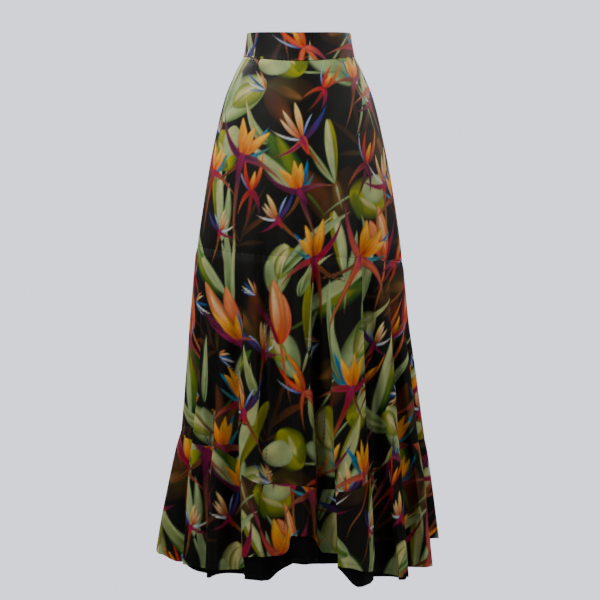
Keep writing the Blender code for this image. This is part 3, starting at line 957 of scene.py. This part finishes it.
@dataclass(frozen=True)
class Lacquer:
    """Black lacquer on the zip's metal, rubbed through in spots."""

    lacquer: tuple[float, ...] = (0.012, 0.011, 0.011, 1.0)
    metal: tuple[float, ...] = (0.16, 0.15, 0.14, 1.0)
    grain: float = 900.0
    rubbed_from: float = 0.60  # the speckle's value where the lacquer starts to go
    rub_edge: float = 7.0
    bared: float = 0.5
    metallic: float = 0.6
    roughness: float = 0.22
    rougher: float = 0.25
    relief: tuple[float, float] = (0.10, 0.0001)  # strength and depth

    def material(self) -> bpy.types.Material:
        """The metal's material.

        Returns:
            Lacquer that is metallic where it is rubbed.
        """
        paint = Paint("zip_metal")
        place = paint.signal("ShaderNodeTexCoord", None, None, "Object")
        speckle = {"Vector": place, "Scale": self.grain, "Detail": 4.0}
        rubs = paint.signal("ShaderNodeTexNoise", None, speckle, "Fac")
        worn = ((rubs - self.rubbed_from) * self.rub_edge).clamped()
        paint.feed(paint.shader, {
            "Base Color": paint.mix(worn * self.bared, self.lacquer, self.metal),
            "Metallic": worn * self.metallic,
            "Roughness": (rubs * self.rougher + self.roughness).clamped(),
            "Normal": paint.bump(rubs, *self.relief),
        })
        return paint.material


@dataclass(frozen=True)
class Thread:
    """Black sewing thread, and the zip's coil."""

    name: str = "thread"
    roughness: float = 0.45
    rougher: float = 0.2
    grain: float = 1500.0
    dark: tuple[float, ...] = (0.006, 0.006, 0.006, 1.0)
    pale: tuple[float, ...] = (0.020, 0.019, 0.018, 1.0)

    def material(self) -> bpy.types.Material:
        """The thread's material.

        Returns:
            Black fibre, finely uneven.
        """
        paint = Paint(self.name)
        place = paint.signal("ShaderNodeTexCoord", None, None, "Object")
        speckle = {"Vector": place, "Scale": self.grain, "Detail": 2.0}
        fuzz = paint.signal("ShaderNodeTexNoise", None, speckle, "Fac")
        paint.feed(paint.shader, {
            "Base Color": paint.mix(fuzz, self.dark, self.pale),
            "Roughness": (fuzz * self.rougher + self.roughness).clamped(),
        })
        return paint.material


def triangles(mesh: bpy.types.Mesh) -> int:
    """How many triangles a mesh has."""
    return sum(face.loop_total - 2 for face in mesh.polygons)


def add_piece(
    name: str, mesh: bpy.types.Mesh, material: bpy.types.Material
) -> bpy.types.Object:
    """Puts a mesh in the scene as a piece that rides on the skirt.

    Args:
        name: The piece's name.
        mesh: Its mesh, in place.
        material: Its finish.

    Returns:
        The piece.
    """
    piece = bpy.data.objects.new(name, mesh)
    bpy.context.scene.collection.objects.link(piece)
    mesh.materials.append(material)
    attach(piece, SKIRT_BODY)
    LOG.info("%s: %d triangles", name, triangles(mesh))
    return piece


@dataclass(frozen=True)
class Panel:
    """One cut piece of cloth, as a closed shell between two angles and two lines."""

    node: str
    side: Side
    top: Line
    bottom: Line
    finish: Finish = Finish.PRINTED
    swell: Change = Change(0.0, 0.0, 0.02)
    sink: Change = Change(0.0, 0.0, 0.02)
    cut_across: float = 0.0  # where the panel's middle lies on the cloth
    cut_down: float = 0.0
    thickness: float = 0.0006
    hem: bool = False
    tucked: bool = True  # its top edge goes up behind the piece above
    hangs_from: str = ""
    spacing: float = 0.00195
    inner_step: int = 3
    curve_allowance: float = 1.02  # the cloth's length for each unit of height
    fine_steps: int = 4000
    tuck: float = 0.0060
    tuck_sink: float = 0.0014
    ramp: float = 0.0040
    hem_turn: float = 0.0120
    hem_step: float = 0.0012
    pucker: float = 0.00035
    pucker_reach: float = 0.012
    pucker_rate: float = 1.9  # radians of pucker in a degree round the body
    pucker_drift: tuple[float, float] = (2.0, 0.21)  # its unevenness, and that one's own rate
    crisp: float = 50.0  # edges sharper than this many degrees stay sharp

    @property
    def name(self) -> str:
        """The visible piece's name."""
        return f"{self.node}_cloth"

    @property
    def head(self) -> float:
        """How far its top edge goes above its seam."""
        return self.tuck if self.tucked else 0.0

    def surface(self, angle: np.ndarray, height: np.ndarray) -> np.ndarray:
        """The panel's outer face, without what its creases and edges add."""
        drop = self.top.height(angle) - height
        return FORM.point(angle, height, amount(self.swell, drop))

    def facing(self, angle: np.ndarray, height: np.ndarray) -> np.ndarray:
        """The outward direction square to the cloth.

        Args:
            angle: Angles round the body.
            height: Heights.

        Returns:
            One unit vector for each place.
        """
        beside, beneath = 0.2, 0.002
        across = self.surface(angle + beside, height) - self.surface(angle - beside, height)
        up = self.surface(angle, height + beneath) - self.surface(angle, height - beneath)
        out = np.cross(across, up)
        return out / np.linalg.norm(out, axis=-1, keepdims=True)

    def folded(self, angle: np.ndarray, height: np.ndarray) -> np.ndarray:
        """The outer face with its creases."""
        return self.surface(angle, height) + self.facing(angle, height) * creased(angle, height)[..., None]

    def side_tucks(self) -> tuple[float, float]:
        """How far its first and last edge go behind the next piece."""
        left = self.tuck * (self.side is not Side.FRONT)
        return left, self.tuck * (self.side in (Side.BACK, Side.BACK_RIGHT))

    def columns(self) -> np.ndarray:
        """The grid's columns.

        Returns:
            Their angles, evenly spaced in arc, with the tucks at both sides.
        """
        first, last = self.side.value
        tuck_first, tuck_last = self.side_tucks()
        reach = math.degrees(1.0 / FORM.oval(self.top.height(np.array([first])))[1][0])
        fine = np.linspace(first - tuck_first * reach, last + tuck_last * reach, self.fine_steps)
        arcs = []
        for share in (0.0, 0.5, 1.0):
            height = self.top.height(fine) * (1.0 - share) + self.bottom.height(fine) * share
            steps = np.linalg.norm(np.diff(self.folded(fine, height), axis=0), axis=-1)
            arcs.append(np.concatenate(([0.0], np.cumsum(steps))))
        longest = max(arc[-1] for arc in arcs)
        count = self.inner_step * math.ceil(longest / self.spacing / self.inner_step)
        mixed = sum(arcs)
        return np.interp(np.linspace(0.0, mixed[-1], count + 1), mixed, fine)

    def grid(self) -> dict[str, np.ndarray]:
        """The panel's rows and columns of points.

        Returns:
            On the grid: outer points, outward directions, thicknesses, places across and down the flat
            cloth, and the outer face without its tucks and puckers.
        """
        columns = self.columns()
        top, bottom = self.top.height(columns), self.bottom.height(columns)
        length = np.mean(top - bottom) * self.curve_allowance + self.head
        count = self.inner_step * math.ceil(length / self.spacing / self.inner_step)
        share = np.linspace(0.0, 1.0, count + 1)[:, None]
        height = (top + self.head) * (1.0 - share) + bottom * share
        angle = np.broadcast_to(columns, height.shape)
        surface, out, moved = self.surface(angle, height), self.facing(angle, height), creased(angle, height)
        depth = amount(self.sink, top - height) - moved + self.edges(angle, height, top, bottom)
        plain = surface + out * moved[..., None]
        thick = np.full_like(height, self.thickness)
        if self.hem:
            thick += self.thickness * smooth((bottom + self.hem_turn - height) / self.hem_step + 1.0)
        across, down = self.flattened(plain, height, np.argmin(np.abs(columns - 0.5 * sum(self.side.value))))
        points = surface - out * depth[..., None]
        return {"points": points, "out": out, "thick": thick, "across": across, "down": down, "plain": plain}

    def edges(self, angle: np.ndarray, height: np.ndarray, top: np.ndarray, bottom: np.ndarray) -> np.ndarray:
        """How far the tucks and the puckers of the seams draw the cloth in.

        Args:
            angle: The grid's angles.
            height: The grid's heights.
            top: The top seam's height in each column.
            bottom: The bottom edge's height in each column.

        Returns:
            One depth for each place.
        """
        depth = np.zeros_like(height)
        if self.tucked:
            depth += self.tuck_sink * smooth((height - top + self.ramp) / self.ramp)
        rate, own_rate = self.pucker_drift
        wave = 1.0 + np.sin(angle * self.pucker_rate + rate * np.sin(angle * own_rate))
        for seam, way in ((top, 1.0), (bottom, -1.0)):
            depth += self.pucker * np.exp(-((seam - height) * way / self.pucker_reach) ** 2) * wave
        metres = np.radians(1.0) * FORM.oval(height)[1]
        beside = np.zeros_like(height)
        for edge, way, tuck in zip(self.side.value, (-1.0, 1.0), self.side_tucks()):
            if tuck:
                past = way * (angle - edge) * metres
                beside = np.maximum(beside, self.tuck_sink * smooth((past + self.ramp) / self.ramp))
        return depth + beside

    @staticmethod
    def flattened(plain: np.ndarray, height: np.ndarray, middle: int) -> tuple[np.ndarray, np.ndarray]:
        """Places of the grid's points on flat cloth.

        Args:
            plain: The outer face's points.
            height: Their heights.
            middle: The panel's middle column.

        Returns:
            Distances across from the middle column and down from its top.
        """
        steps = np.linalg.norm(np.diff(plain, axis=1), axis=-1)
        across = np.pad(np.cumsum(steps, axis=1), ((0, 0), (1, 0)))
        falls = np.linalg.norm(np.diff(plain[:, middle], axis=0), axis=-1)
        fallen = np.concatenate(([0.0], np.cumsum(falls)))
        first, last = height[0, middle], height[-1, middle]
        down = np.interp(-height, -height[:, middle], fallen)
        down = np.where(height < last, fallen[-1] + (last - height), down)
        return across - across[:, middle:middle + 1], np.where(height > first, first - height, down)

    def box(self, columns: int, rows: int) -> bpy.types.Mesh:
        """A closed box whose outer face has all the columns and rows and whose inner face has fewer.

        Args:
            columns: Faces across.
            rows: Faces down.

        Returns:
            A mesh in x and y from 0 to 1, with its outer face at z = 1 and its inner one at z = 0.
        """
        sheet = bmesh.new()
        bmesh.ops.create_grid(sheet, x_segments=columns, y_segments=rows, size=0.5)
        bmesh.ops.translate(sheet, vec=(0.5, 0.5, 1.0), verts=sheet.verts)
        border = [edge for edge in sheet.edges if edge.is_boundary]
        grown = bmesh.ops.extrude_edge_only(sheet, edges=border)["geom"]
        rim = [part for part in grown if isinstance(part, bmesh.types.BMVert)]
        bmesh.ops.translate(sheet, vec=(0.0, 0.0, -1.0), verts=rim)
        step = self.inner_step
        inner = bmesh.ops.create_grid(
            sheet, x_segments=columns // step, y_segments=rows // step, size=0.5
        )["verts"]
        bmesh.ops.translate(sheet, vec=(0.5, 0.5, 0.0), verts=inner)
        found = set(inner)
        edges = [edge for edge in sheet.edges if edge.is_boundary and edge.verts[0] in found]
        bmesh.ops.subdivide_edges(sheet, edges=edges, cuts=step - 1)
        low = [vert for vert in sheet.verts if vert.co.z < 0.5]
        bmesh.ops.remove_doubles(sheet, verts=low, dist=0.2 / max(columns, rows))
        bmesh.ops.recalc_face_normals(sheet, faces=sheet.faces)
        mesh = bpy.data.meshes.new(self.name)
        sheet.to_mesh(mesh)
        sheet.free()
        return mesh

    def build(self, materials: dict[Finish, bpy.types.Material]) -> bpy.types.Object:
        """Makes the piece in the scene.

        Args:
            materials: The material of each cloth.

        Returns:
            The piece, riding on the skirt.
        """
        grid = self.grid()
        rows, columns = (size - 1 for size in grid["thick"].shape)
        mesh = self.box(columns, rows)
        place = np.empty(3 * len(mesh.vertices), np.float32)
        mesh.vertices.foreach_get("co", place)
        place = place.reshape(-1, 3)
        column = np.rint(place[:, 0] * columns).astype(int)
        row = np.rint((1.0 - place[:, 1]) * rows).astype(int)
        inner = (1.0 - place[:, 2])[:, None]
        points = grid["points"][row, column]
        points = points - grid["out"][row, column] * grid["thick"][row, column][:, None] * inner
        mesh.vertices.foreach_set("co", points.astype(np.float32).ravel())
        flat = np.stack((grid["across"] + self.cut_across, grid["down"] + self.cut_down), -1)[row, column]
        self.map_flat(mesh, flat)
        if self.finish is Finish.PRINTED:
            self.print_on(mesh, flat, inner)
        mesh.shade_smooth()
        mesh.set_sharp_from_angle(angle=math.radians(self.crisp))
        piece = add_piece(self.name, mesh, materials[self.finish])
        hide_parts(self.node)
        return piece

    @staticmethod
    def map_flat(mesh: bpy.types.Mesh, flat: np.ndarray) -> None:
        """Gives the mesh its flat cloth's UV map.

        Args:
            mesh: The panel's mesh.
            flat: Each vertex's place on flat cloth.
        """
        corner = np.empty(len(mesh.loops), np.int32)
        mesh.loops.foreach_get("vertex_index", corner)
        layer = mesh.uv_layers.new(name=CLOTH_MAP)
        layer.uv.foreach_set("vector", flat[corner].astype(np.float32).ravel())

    @staticmethod
    def print_on(mesh: bpy.types.Mesh, flat: np.ndarray, inner: np.ndarray) -> None:
        """Paints the print on the face side and its paler ghost on the wrong side.

        Args:
            mesh: The panel's mesh.
            flat: Each vertex's place on flat cloth.
            inner: 1 on the wrong side and 0 on the face side.
        """
        face = YARDAGE.paint(flat[:, 0], flat[:, 1])
        colour = np.ones((len(face), 4), np.float32)
        colour[:, :3] = face + (YARDAGE.wrong_side(face) - face) * inner
        layer = mesh.color_attributes.new(name=PRINT, type="FLOAT_COLOR", domain="POINT")
        layer.data.foreach_set("color", colour.ravel())

    @staticmethod
    def flat_size(grid: dict[str, np.ndarray]) -> tuple[float, float, float]:
        """The cut's size.

        Args:
            grid: The panel's grid.

        Returns:
            Its width, length and area.
        """
        plain = grid["plain"]
        width = float(np.ptp(grid["across"], axis=1).max())
        length = float(np.linalg.norm(np.diff(plain, axis=0), axis=-1).sum(axis=0).max())
        faces = np.cross(plain[1:, 1:] - plain[:-1, :-1], plain[1:, :-1] - plain[:-1, 1:])
        return width, length, float(0.5 * np.linalg.norm(faces, axis=-1).sum())


MIDDLE_SWELL = Change(0.0, 0.0020, 0.02)
FLOUNCE_SWELL = Change(0.0020, 0.0035, 0.03)
UNDER_SINK = Change(0.0024, 0.0042, 0.05)


class Beads:
    """Many small rounded bodies of thread or nylon, joined in one mesh."""

    def __init__(self, name: str, segments: int = 6, rings: int = 3) -> None:
        """Starts with nothing.

        Args:
            name: The piece's name.
            segments: Sides of each body.
            rings: Rings of each body.
        """
        self.name = name
        self.mesh = bmesh.new()
        ball = bmesh.new()
        bmesh.ops.create_uvsphere(ball, u_segments=segments, v_segments=rings, radius=1.0)
        self.ball = bpy.data.meshes.new("ball")
        ball.to_mesh(self.ball)
        ball.free()

    def add(self, place: Vector, along: Vector, out: Vector, size: tuple[float, float, float]) -> None:
        """Adds one body.

        Args:
            place: Its middle.
            along: The direction of its length.
            out: The direction away from the cloth.
            size: Its half length, half width and half thickness.
        """
        along, out = along.normalized(), out.normalized()
        beside = out.cross(along).normalized()
        turn = Matrix((along, beside, along.cross(beside))).transposed().to_4x4()
        placed = self.ball.copy()
        placed.transform(Matrix.Translation(place) @ turn @ Matrix.Diagonal((*size, 1.0)))
        self.mesh.from_mesh(placed)
        bpy.data.meshes.remove(placed)

    def finish(self, material: bpy.types.Material) -> bpy.types.Object:
        """Puts the joined bodies in the scene.

        Args:
            material: Their finish.

        Returns:
            The piece.
        """
        mesh = bpy.data.meshes.new(self.name)
        self.mesh.to_mesh(mesh)
        self.mesh.free()
        bpy.data.meshes.remove(self.ball)
        mesh.shade_smooth()
        return add_piece(self.name, mesh, material)


@dataclass(frozen=True)
class HemStitching:
    """A row of stitches round a hem."""

    name: str
    panel: Panel
    above: float = 0.0085
    pitch: float = 0.0032
    shows: tuple[float, float] = (0.15, 0.85)  # the share of each pitch where the thread is on top
    clear: float = 0.3  # degrees left free at each side seam
    fine_steps: int = 6000
    size: tuple[float, float, float] = (0.00125, 0.00028, 0.00022)

    def build(self, material: bpy.types.Material) -> bpy.types.Object:
        """Sews the row on the face side.

        Args:
            material: The thread's finish.

        Returns:
            The row as one piece.
        """
        panel = self.panel
        first, last = panel.side.value
        fine = np.linspace(first + self.clear, last - self.clear, self.fine_steps)
        height = panel.bottom.height(fine) + self.above
        depth = amount(panel.sink, panel.top.height(fine) - height)
        out = panel.facing(fine, height)
        path = panel.folded(fine, height) - out * (depth - 0.5 * self.size[2])[:, None]
        run = np.concatenate(([0.0], np.cumsum(np.linalg.norm(np.diff(path, axis=0), axis=-1))))
        beads = Beads(self.name)
        for stitch in range(int(run[-1] / self.pitch)):
            start, end = ((stitch + share) * self.pitch for share in self.shows)
            ends = [Vector([np.interp(at, run, path[:, axis]) for axis in range(3)]) for at in (start, end)]
            facing = Vector([np.interp(0.5 * (start + end), run, out[:, axis]) for axis in range(3)])
            beads.add((ends[0] + ends[1]) / 2, ends[1] - ends[0], facing, self.size)
        return beads.finish(material)


@dataclass(frozen=True)
class Zip:
    """The coil and tapes of the zip behind the centre back seam."""

    top: float = 0.0460
    foot: float = -0.1750
    pitch: float = 0.0016
    behind: float = 0.0030
    tooth: tuple[float, float, float] = (0.0020, 0.0007, 0.0007)
    tooth_aside: float = 0.0008
    tooth_lean: float = 0.12
    tape_width: float = 0.0120
    tape_thickness: float = 0.0005
    tape_start: float = 0.0022
    tape_columns: int = 4
    tape_rows: int = 40
    tape_behind: float = 0.0004
    tape_curve: float = 9.0
    centre: float = 180.0

    def frame_at(self, height: float) -> tuple[Vector, Vector]:
        """A place behind the seam.

        Args:
            height: Its height.

        Returns:
            The place and the outward direction there.
        """
        panel = Panel("zip", Side.BACK, WAIST_SEAM, UPPER_SEAM)
        angle, level = np.array([self.centre]), np.array([height])
        out = Vector(panel.facing(angle, level)[0])
        return Vector(panel.surface(angle, level)[0]) - out * self.behind, out

    def build_coil(self, material: bpy.types.Material) -> bpy.types.Object:
        """Two rows of coil that mesh along the seam.

        Args:
            material: The coil's finish.

        Returns:
            The coil as one piece.
        """
        beads = Beads("zip_coil")
        for tooth in range(int((self.top - self.foot) / self.pitch)):
            place, out = self.frame_at(self.top - tooth * self.pitch)
            side = 1.0 if tooth % 2 else -1.0
            aside = Vector((side * self.tooth_aside, 0.0, 0.0))
            beads.add(place + aside, Vector((side, 0.0, self.tooth_lean)), out, self.tooth)
        return beads.finish(material)

    def build_tape(self, name: str, side: float, material: bpy.types.Material) -> bpy.types.Object:
        """One tape, from the coil outwards.

        Args:
            name: The piece's name.
            side: 1 towards the wearer's left and -1 towards the right.
            material: Its finish.

        Returns:
            The piece.
        """
        mesh = bmesh.new()
        bmesh.ops.create_grid(mesh, x_segments=self.tape_columns, y_segments=self.tape_rows, size=0.5)
        grown = bmesh.ops.extrude_face_region(mesh, geom=mesh.faces[:])["geom"]
        raised = [part for part in grown if isinstance(part, bmesh.types.BMVert)]
        bmesh.ops.translate(mesh, vec=(0.0, 0.0, 1.0), verts=raised)
        for vert in mesh.verts:
            across, down, rise = (vert.co.x + 0.5) * self.tape_width, 0.5 - vert.co.y, vert.co.z
            place, out = self.frame_at(self.top + (self.foot - self.top) * down)
            behind = self.tape_behind + self.tape_curve * across ** 2
            shift = Vector((side * (self.tape_start + across), -behind, 0.0))
            vert.co = place + shift + out * (rise * self.tape_thickness)
        bmesh.ops.recalc_face_normals(mesh, faces=mesh.faces)
        made = bpy.data.meshes.new(name)
        mesh.to_mesh(made)
        mesh.free()
        return add_piece(name, made, material)

    def build(self, material: bpy.types.Material) -> None:
        """Makes the coil and both tapes.

        Args:
            material: Their finish.
        """
        self.build_coil(material)
        self.build_tape("zip_tape_left", 1.0, material)
        self.build_tape("zip_tape_right", -1.0, material)


@dataclass(frozen=True)
class Skirt:
    """All the skirt's cloth."""

    band_thickness: float = 0.0016
    upper_spacing: float = 0.00220
    middle_spacing: float = 0.00245
    flounce_spacing: float = 0.00232
    under_spacing: float = 0.0050

    def panels(self) -> list[Panel]:
        """The cut pieces, from the waist down.

        Returns:
            The panels. The middle tier's front is cut where the upper tier's ends, so the print runs on.
        """
        front, left, right, back = Side.FRONT, Side.BACK_LEFT, Side.BACK_RIGHT, Side.BACK
        band = dict(top=BAND_TOP, bottom=WAIST_SEAM, thickness=self.band_thickness, tucked=False)
        upper = dict(top=WAIST_SEAM, bottom=UPPER_SEAM, spacing=self.upper_spacing)
        flat_seam = dict(tuck_sink=0.0010, ramp=0.0018, pucker=0.00022)
        middle = dict(
            top=UPPER_SEAM, bottom=LOWER_SEAM, swell=MIDDLE_SWELL, spacing=self.middle_spacing, **flat_seam
        )
        flounce = dict(
            top=LOWER_SEAM, bottom=PRINT_HEM, swell=FLOUNCE_SWELL, hem=True,
            spacing=self.flounce_spacing, **flat_seam
        )
        under = dict(
            top=LOWER_SEAM, bottom=UNDER_HEM, swell=FLOUNCE_SWELL, sink=UNDER_SINK, hem=True, tucked=False,
            finish=Finish.BLACK, spacing=self.under_spacing,
        )
        rows = (
            ("waistband_front", front, 0.33, 0.69, "", band),
            ("waistband_back_left", left, 0.47, 0.42, "", band),
            ("waistband_back_right", right, 0.02, 0.55, "", band),
            ("upper_tier_front", front, 0.33, 0.05, "waistband_front", upper),
            ("upper_tier_back_left", left, 0.12, 0.30, "waistband_back_left", upper),
            ("upper_tier_back_right", right, 0.50, 0.48, "waistband_back_right", upper),
            ("middle_tier_front", front, 0.33, 0.447, "upper_tier_front", middle),
            ("middle_tier_back", back, 0.40, 0.22, "upper_tier_back_left", middle),
            ("flounce_front", front, 0.55, 0.31, "middle_tier_front", flounce),
            ("flounce_back", back, 0.25, 0.62, "middle_tier_back", flounce),
            ("under_flounce_front", front, 0.0, 0.0, "middle_tier_front", under),
            ("under_flounce_back", back, 0.0, 0.0, "middle_tier_back", under),
        )
        return [
            Panel(
                node, side, cut_across=across, cut_down=down,
                hangs_from=f"{above}_cloth" if above else "", **sizes,
            )
            for node, side, across, down, above, sizes in rows
        ]

    def build(self, materials: dict[Finish, bpy.types.Material]) -> None:
        """Cuts, prints and hangs every panel.

        Args:
            materials: The material of each cloth.
        """
        for panel in self.panels():
            panel.build(materials)


class Lamp(NamedTuple):
    """A soft square lamp that faces the skirt."""

    name: str
    place: tuple[float, float, float]
    aim_height: float
    size: float
    power: float


@dataclass(frozen=True)
class Studio:
    """A pale room with soft lamps, and the camera in front of the skirt."""

    middle_height: float = -0.491
    distance: float = 6.0
    lens: float = 178.2
    aside: float = 0.0020
    floor_height: float = -1.32
    floor_radius: float = 0.95
    floor_sides: int = 96
    floor_colour: tuple[float, ...] = (0.90, 0.90, 0.93, 1.0)
    floor_roughness: float = 0.9
    backdrop: tuple[float, float, float] = (1.46, 1.47, 1.72)
    room: tuple[float, float, float] = (0.032, 0.032, 0.035)
    lamps: tuple[Lamp, ...] = (
        Lamp("front_key", (-1.00, -1.00, 1.05), 0.10, 0.45, 28.0),
        Lamp("front_fill", (1.45, -1.10, 0.85), 0.15, 0.60, 15.0),
        Lamp("back_key", (-1.00, 1.10, 1.05), 0.10, 0.45, 31.0),
        Lamp("back_fill", (1.45, 1.20, 0.85), 0.15, 0.60, 17.0),
        Lamp("left_side", (1.75, -0.25, 0.90), 0.05, 0.80, 10.0),
        Lamp("right_side", (-1.75, 0.0, 0.90), 0.05, 0.80, 7.0),
    )

    def build(self) -> None:
        """Makes the floor, the room's light, the lamps and the camera."""
        self.floor()
        self.world()
        for lamp in self.lamps:
            self.hang(lamp)
        data = bpy.data.cameras.new("camera")
        data.lens = self.lens
        camera = bpy.data.objects.new("camera", data)
        camera.location = (self.aside, -self.distance, self.middle_height)
        camera.rotation_euler = (0.5 * math.pi, 0.0, 0.0)
        bpy.context.scene.collection.objects.link(camera)
        bpy.context.scene.camera = camera

    def world(self) -> None:
        """A plain pale backdrop, which lights the room less than it shows."""
        world = bpy.data.worlds.new("studio")
        world.use_nodes = True
        tree = world.node_tree
        shown = tree.nodes["Background"]
        shown.inputs["Color"].default_value = (*self.backdrop, 1.0)
        lighting = tree.nodes.new("ShaderNodeBackground")
        lighting.inputs["Color"].default_value = (*self.room, 1.0)
        path = tree.nodes.new("ShaderNodeLightPath")
        chosen = tree.nodes.new("ShaderNodeMixShader")
        tree.links.new(path.outputs["Is Camera Ray"], chosen.inputs["Fac"])
        tree.links.new(lighting.outputs[0], chosen.inputs[1])
        tree.links.new(shown.outputs[0], chosen.inputs[2])
        tree.links.new(chosen.outputs[0], tree.nodes["World Output"].inputs["Surface"])
        bpy.context.scene.world = world

    def floor(self) -> None:
        """A round pale floor below the skirt."""
        sheet = bmesh.new()
        bmesh.ops.create_circle(sheet, cap_ends=True, segments=self.floor_sides, radius=self.floor_radius)
        bmesh.ops.translate(sheet, vec=(0.0, 0.0, self.floor_height), verts=sheet.verts)
        mesh = bpy.data.meshes.new("floor")
        sheet.to_mesh(mesh)
        sheet.free()
        paint = Paint("floor")
        paint.feed(paint.shader, {"Base Color": self.floor_colour, "Roughness": self.floor_roughness})
        mesh.materials.append(paint.material)
        floor = bpy.data.objects.new("floor", mesh)
        bpy.context.scene.collection.objects.link(floor)

    @staticmethod
    def hang(lamp: Lamp) -> None:
        """Puts a lamp in the scene, turned to its aim on the skirt's axis.

        Args:
            lamp: Which lamp.
        """
        data = bpy.data.lights.new(lamp.name, "AREA")
        data.size, data.energy = lamp.size, lamp.power
        light = bpy.data.objects.new(lamp.name, data)
        aim = Vector((0.0, 0.0, lamp.aim_height)) - Vector(lamp.place)
        light.location, light.rotation_euler = lamp.place, aim.to_track_quat("-Z", "Y").to_euler()
        bpy.context.scene.collection.objects.link(light)


def main() -> None:
    """Builds every piece in order."""
    logging.basicConfig(level=logging.INFO, format="%(message)s")
    Studio().build()
    materials = {Finish.PRINTED: PrintedCloth().material(), Finish.BLACK: BlackCloth().material()}
    skirt = Skirt()
    skirt.build(materials)
    thread = Thread().material()
    for panel in skirt.panels():
        if panel.hem:
            HemStitching(f"{panel.node}_stitching", panel).build(thread)
    Zip().build(Thread("zip_nylon", 0.32).material())
    metal = Lacquer().material()
    for node in ("zip_slider", "zip_tab"):
        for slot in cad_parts[node].material_slots:
            slot.material = metal
        LOG.info("%s: lacquered", node)


if __name__ == "__main__":
    main()
